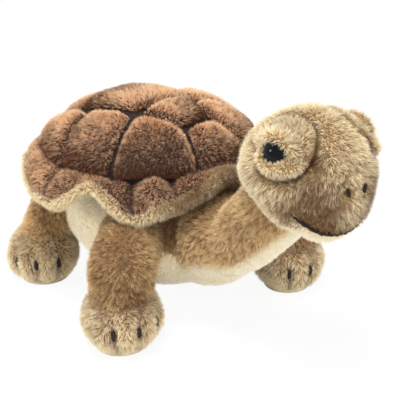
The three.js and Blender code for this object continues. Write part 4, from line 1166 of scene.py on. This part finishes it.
def make_jaw():
    def point(s, t, skin):
        d = mouth_arc(s * 0.76, 0.02 + 0.96 * (t + 1) / 2)
        swell = 0.7 + 2.2 * np.clip(1 - s ** 2, 0, 1) ** 0.7 * np.clip(1 - t ** 4, 0, 1) ** 0.5
        return on_head(d, 4.4, swell if skin else -1.2)

    def tone(p, n):
        return 0.05 * drift(p, 20) - 0.16 - 0.3 * smooth((np.abs(head_direction(p)[:, 0]) - 0.4) / 0.4)

    plush("jaw_panel", pad(40, 18, point), "head", "cream_plush", 2.4, 1.9, downwards, tone,
          lambda p, n: dot(n, head_direction(p)) > 0.2,
          width=0.26, gather=0.35, lock=(1.8, 2.6), swirl=1.0, depth=0.25)


def make_face_threads():
    count = 60
    k = np.arange(count)
    x = np.linspace(-0.78, 0.78, count)
    mouth = on_head(mouth_arc(x, np.zeros(count)), 2.0, 0.35 * np.sin(k * 2.1))
    thickness = (1.15 + 0.2 * np.sin(k * 1.3)) * np.clip((0.8 - np.abs(x)) * 8, 0.15, 1)
    stitch("mouth_thread", mouth, thickness, "head")
    for (word, side), centre in zip(SIDES.items(), NOSTRILS):
        line = [unit(centre + [side * 0.02 * up, 0, 0.075 * up]) for up in (1, 0.4, -0.3, -1)]
        stitch("nostril_" + word, on_head(unit(spline(line, 12)), 2.2), spindle(1.15, 12, 0.08), "head")


# Legs: how far the front and hind feet turn out, and where the claws and the toes between them lie
SPLAY = {-1: math.radians(2), 1: math.radians(39)}
CLAWS = np.radians([-39, 0, 39])
TOES = np.radians([-58, -19.5, 19.5, 58])
CLAW_HEIGHTS = np.radians([80, 88, 96, 104])
SOLE_SHARE = 0.66
SOLE_SECTION = ((0.0, 0.94), (0.5, 1.0), (2.0, 1.0), (FOOT_RISE, 0.95))


def foot_skin():
    """A foot at the origin, with toes and grooves between them."""
    middle = np.array([0, 0, FOOT_MIDDLE])
    verts, tris = lump(middle, FOOT_HALF - SKIN_DEPTH, FOOT_SQUARE)
    flat = np.arctan2(verts[:, 0], -verts[:, 1])
    front = smooth((1.45 - np.abs(flat)) / 0.4) * smooth((40 - verts[:, 2]) / 18)
    front = front * smooth(np.hypot(verts[:, 0], verts[:, 1]) / 12)
    groove = bump(flat[:, None] - CLAWS, 0.15).sum(1)
    toes = bump(flat[:, None] - TOES, 0.28).sum(1)
    verts = verts + unit(verts - middle) * ((2.0 * toes - 4.4 * groove) * front)[:, None]
    verts[:, 2] = np.maximum(verts[:, 2], FOOT_RISE - SKIN_DEPTH)
    return verts, tris


def make_leg(word):
    side, end = LEGS[word]
    leg_name, foot_name = "leg_" + word, "foot_" + word
    turn = side * SPLAY[end]
    spin = np.array([[math.cos(turn), math.sin(turn), 0], [-math.sin(turn), math.cos(turn), 0], [0, 0, 1]])
    foot_at = np.array([side * STANCE_OUT, end * STANCE_ALONG, 0.0])
    verts, tris = foot_skin()
    foot = filleted((verts @ spin + foot_at, tris), [leg_name], FOOT_FILLET)
    line, radii = leg_line(word)
    leg = filleted(limb(line, radii, radii, 72, 32), ["body"], LEG_FILLET)

    paths = []
    for k, claw in enumerate(CLAWS):
        flat = np.sin(CLAW_HEIGHTS)
        ways = np.stack([math.sin(claw) * flat, -math.cos(claw) * flat, np.cos(CLAW_HEIGHTS)], 1)
        paths.append(spline([0, 0, FOOT_MIDDLE] + ways * [26.6, 25.2, 21.6], 14) @ spin + foot_at)
        stitch(f"claw_{word}_{k + 1}", paths[-1], spindle(1.7, 14, 0.06), leg_name)
    claws = np.concatenate(paths)

    def off_claws(p):
        return np.linalg.norm(p[:, None] - claws[None], axis=2).min(1)

    def foot_length(p, n):
        return 3.8 * (0.5 + 0.5 * smooth(off_claws(p) / 6)) * (0.45 + 0.55 * smooth(p[:, 2] / 9))

    # Darker beside the claw threads and along the grooves between the toes: painted shade. The hind feet are
    # also painted a little paler, for the light they get from behind.
    def foot_tone_and_shade(p, n):
        q = (p - foot_at) @ spin.T
        ahead = np.arctan2(q[:, 0], -q[:, 1])
        split = bump(ahead[:, None] - CLAWS, 0.09).sum(1) * smooth((26 - q[:, 2]) / 10)
        pale = 0.44 * (1 - smooth((q[:, 2] - 4) / 40)) + 0.06 + 0.03 * end
        return 0.14 * drift(p, 24) - 0.3 * bump(off_claws(p), 3.2) - 0.4 * split + pale

    plush(foot_name, foot, leg_name, "tan_plush", foot_length, 1.8, downwards, foot_tone_and_shade,
          lambda p, n: (p[:, 2] > 1.6) & (off_claws(p) > 1.6) & ~buried(p, [leg_name], 5),
          lean=0.6, depth=0.85, look="head_plush")
    # Hind legs paler than the front legs: painted light on the hind legs, which the light reaches from behind.
    plush(leg_name, leg, leg_name, "tan_plush", 3.7, 1.8, downwards,
          lambda p, n: 0.18 * drift(p, 26) + 0.05 + 0.18 * end,
          lambda p, n: ~buried(p, [foot_name], 4) & ~buried(p, ["body"], 7),
          lean=0.6, lock=(2.3, 3.8), swirl=2.2, depth=1.0)

    turn = around(48)
    circle = np.stack([np.cos(turn), np.sin(turn), 0 * turn], -1)
    wide, long = FOOT_HALF[:2] * SOLE_SHARE
    rings = [circle * [wide * share, long * share, 0] @ spin + foot_at + [0, 0, z] for z, share in SOLE_SECTION]
    sole = capped(rings, foot_at, foot_at + [0, 0, FOOT_RISE])
    cover("sole_" + word + "_skin", sole, leg_name, "cream_plush", ["sole_" + word])


# Stage and light: the floor shows nearly white to the camera and is lit for the rest
FLOOR_SIZE, FLOOR_DEPTH, FLOOR_GLOW = 6.0, -0.0002, 0.93
SKY_LIGHT, SKY_SEEN = 0.68, 1.0
LAMP_TARGET = (0, 0, 0.08)
# Place, size and power of each lamp
LAMPS = {
    "key": ((-0.6, -0.35, 2.25), 0.8, 42),
    "side": ((-1.9, 0.7, 1.0), 0.35, 12),
    "fill": ((0.2, -1.9, 0.9), 1.2, 9),
}


def make_floor():
    mesh = bpy.data.meshes.new("floor")
    corners = [(x * FLOOR_SIZE, y * FLOOR_SIZE, FLOOR_DEPTH) for x, y in ((-1, -1), (1, -1), (1, 1), (-1, 1))]
    mesh.from_pydata(corners, [], [(0, 1, 2, 3)])
    floor = placed("floor", mesh)
    material, tree, main = shader("floor", 1.0, 0.0)
    feed(tree, main, {"Base Color": (0.9, 0.9, 0.9, 1)})
    share = calculated(tree, "MULTIPLY", added(tree, "LightPath", {}).outputs["Is Camera Ray"], FLOOR_GLOW)
    glow = added(tree, "Emission", {}).outputs[0]
    mix = added(tree, "MixShader", {0: share, 1: main.outputs[0], 2: glow})
    feed(tree, tree.nodes["Material Output"], {"Surface": mix.outputs[0]})
    mesh.materials.append(material)


def make_sky():
    """White where it is seen, dimmer where it lights the toy."""
    sky = bpy.data.worlds.new("studio")
    bpy.context.scene.world = sky
    sky.use_nodes = True
    tree = sky.node_tree
    rays = added(tree, "LightPath", {}).outputs
    seen = rays["Is Camera Ray"]
    for key in ("Is Glossy Ray", "Is Transmission Ray"):
        seen = calculated(tree, "MAXIMUM", seen, rays[key])
    level = added(tree, "MapRange", {"To Min": SKY_LIGHT, "To Max": SKY_SEEN, "Value": seen})
    feed(tree, tree.nodes["Background"], {"Color": (1, 1, 1, 1), "Strength": level.outputs["Result"]})


def make_lamp(name, place, size, power):
    data = bpy.data.lights.new(name, "AREA")
    data.shape = "DISK"
    data.size = size
    data.energy = power
    aimed(name, data, place, Vector(LAMP_TARGET) - Vector(place))


make_shell()
make_rim()
make_body()
make_belly()
make_neck()
make_tail()
make_head()
for side_word, side in SIDES.items():
    make_eye(side_word, side)
make_jaw()
make_face_threads()
for leg_word in LEGS:
    make_leg(leg_word)
make_floor()
make_sky()
for lamp_name, lamp in LAMPS.items():
    make_lamp(lamp_name, *lamp)
bpy.context.scene.view_settings.view_transform = "Standard"
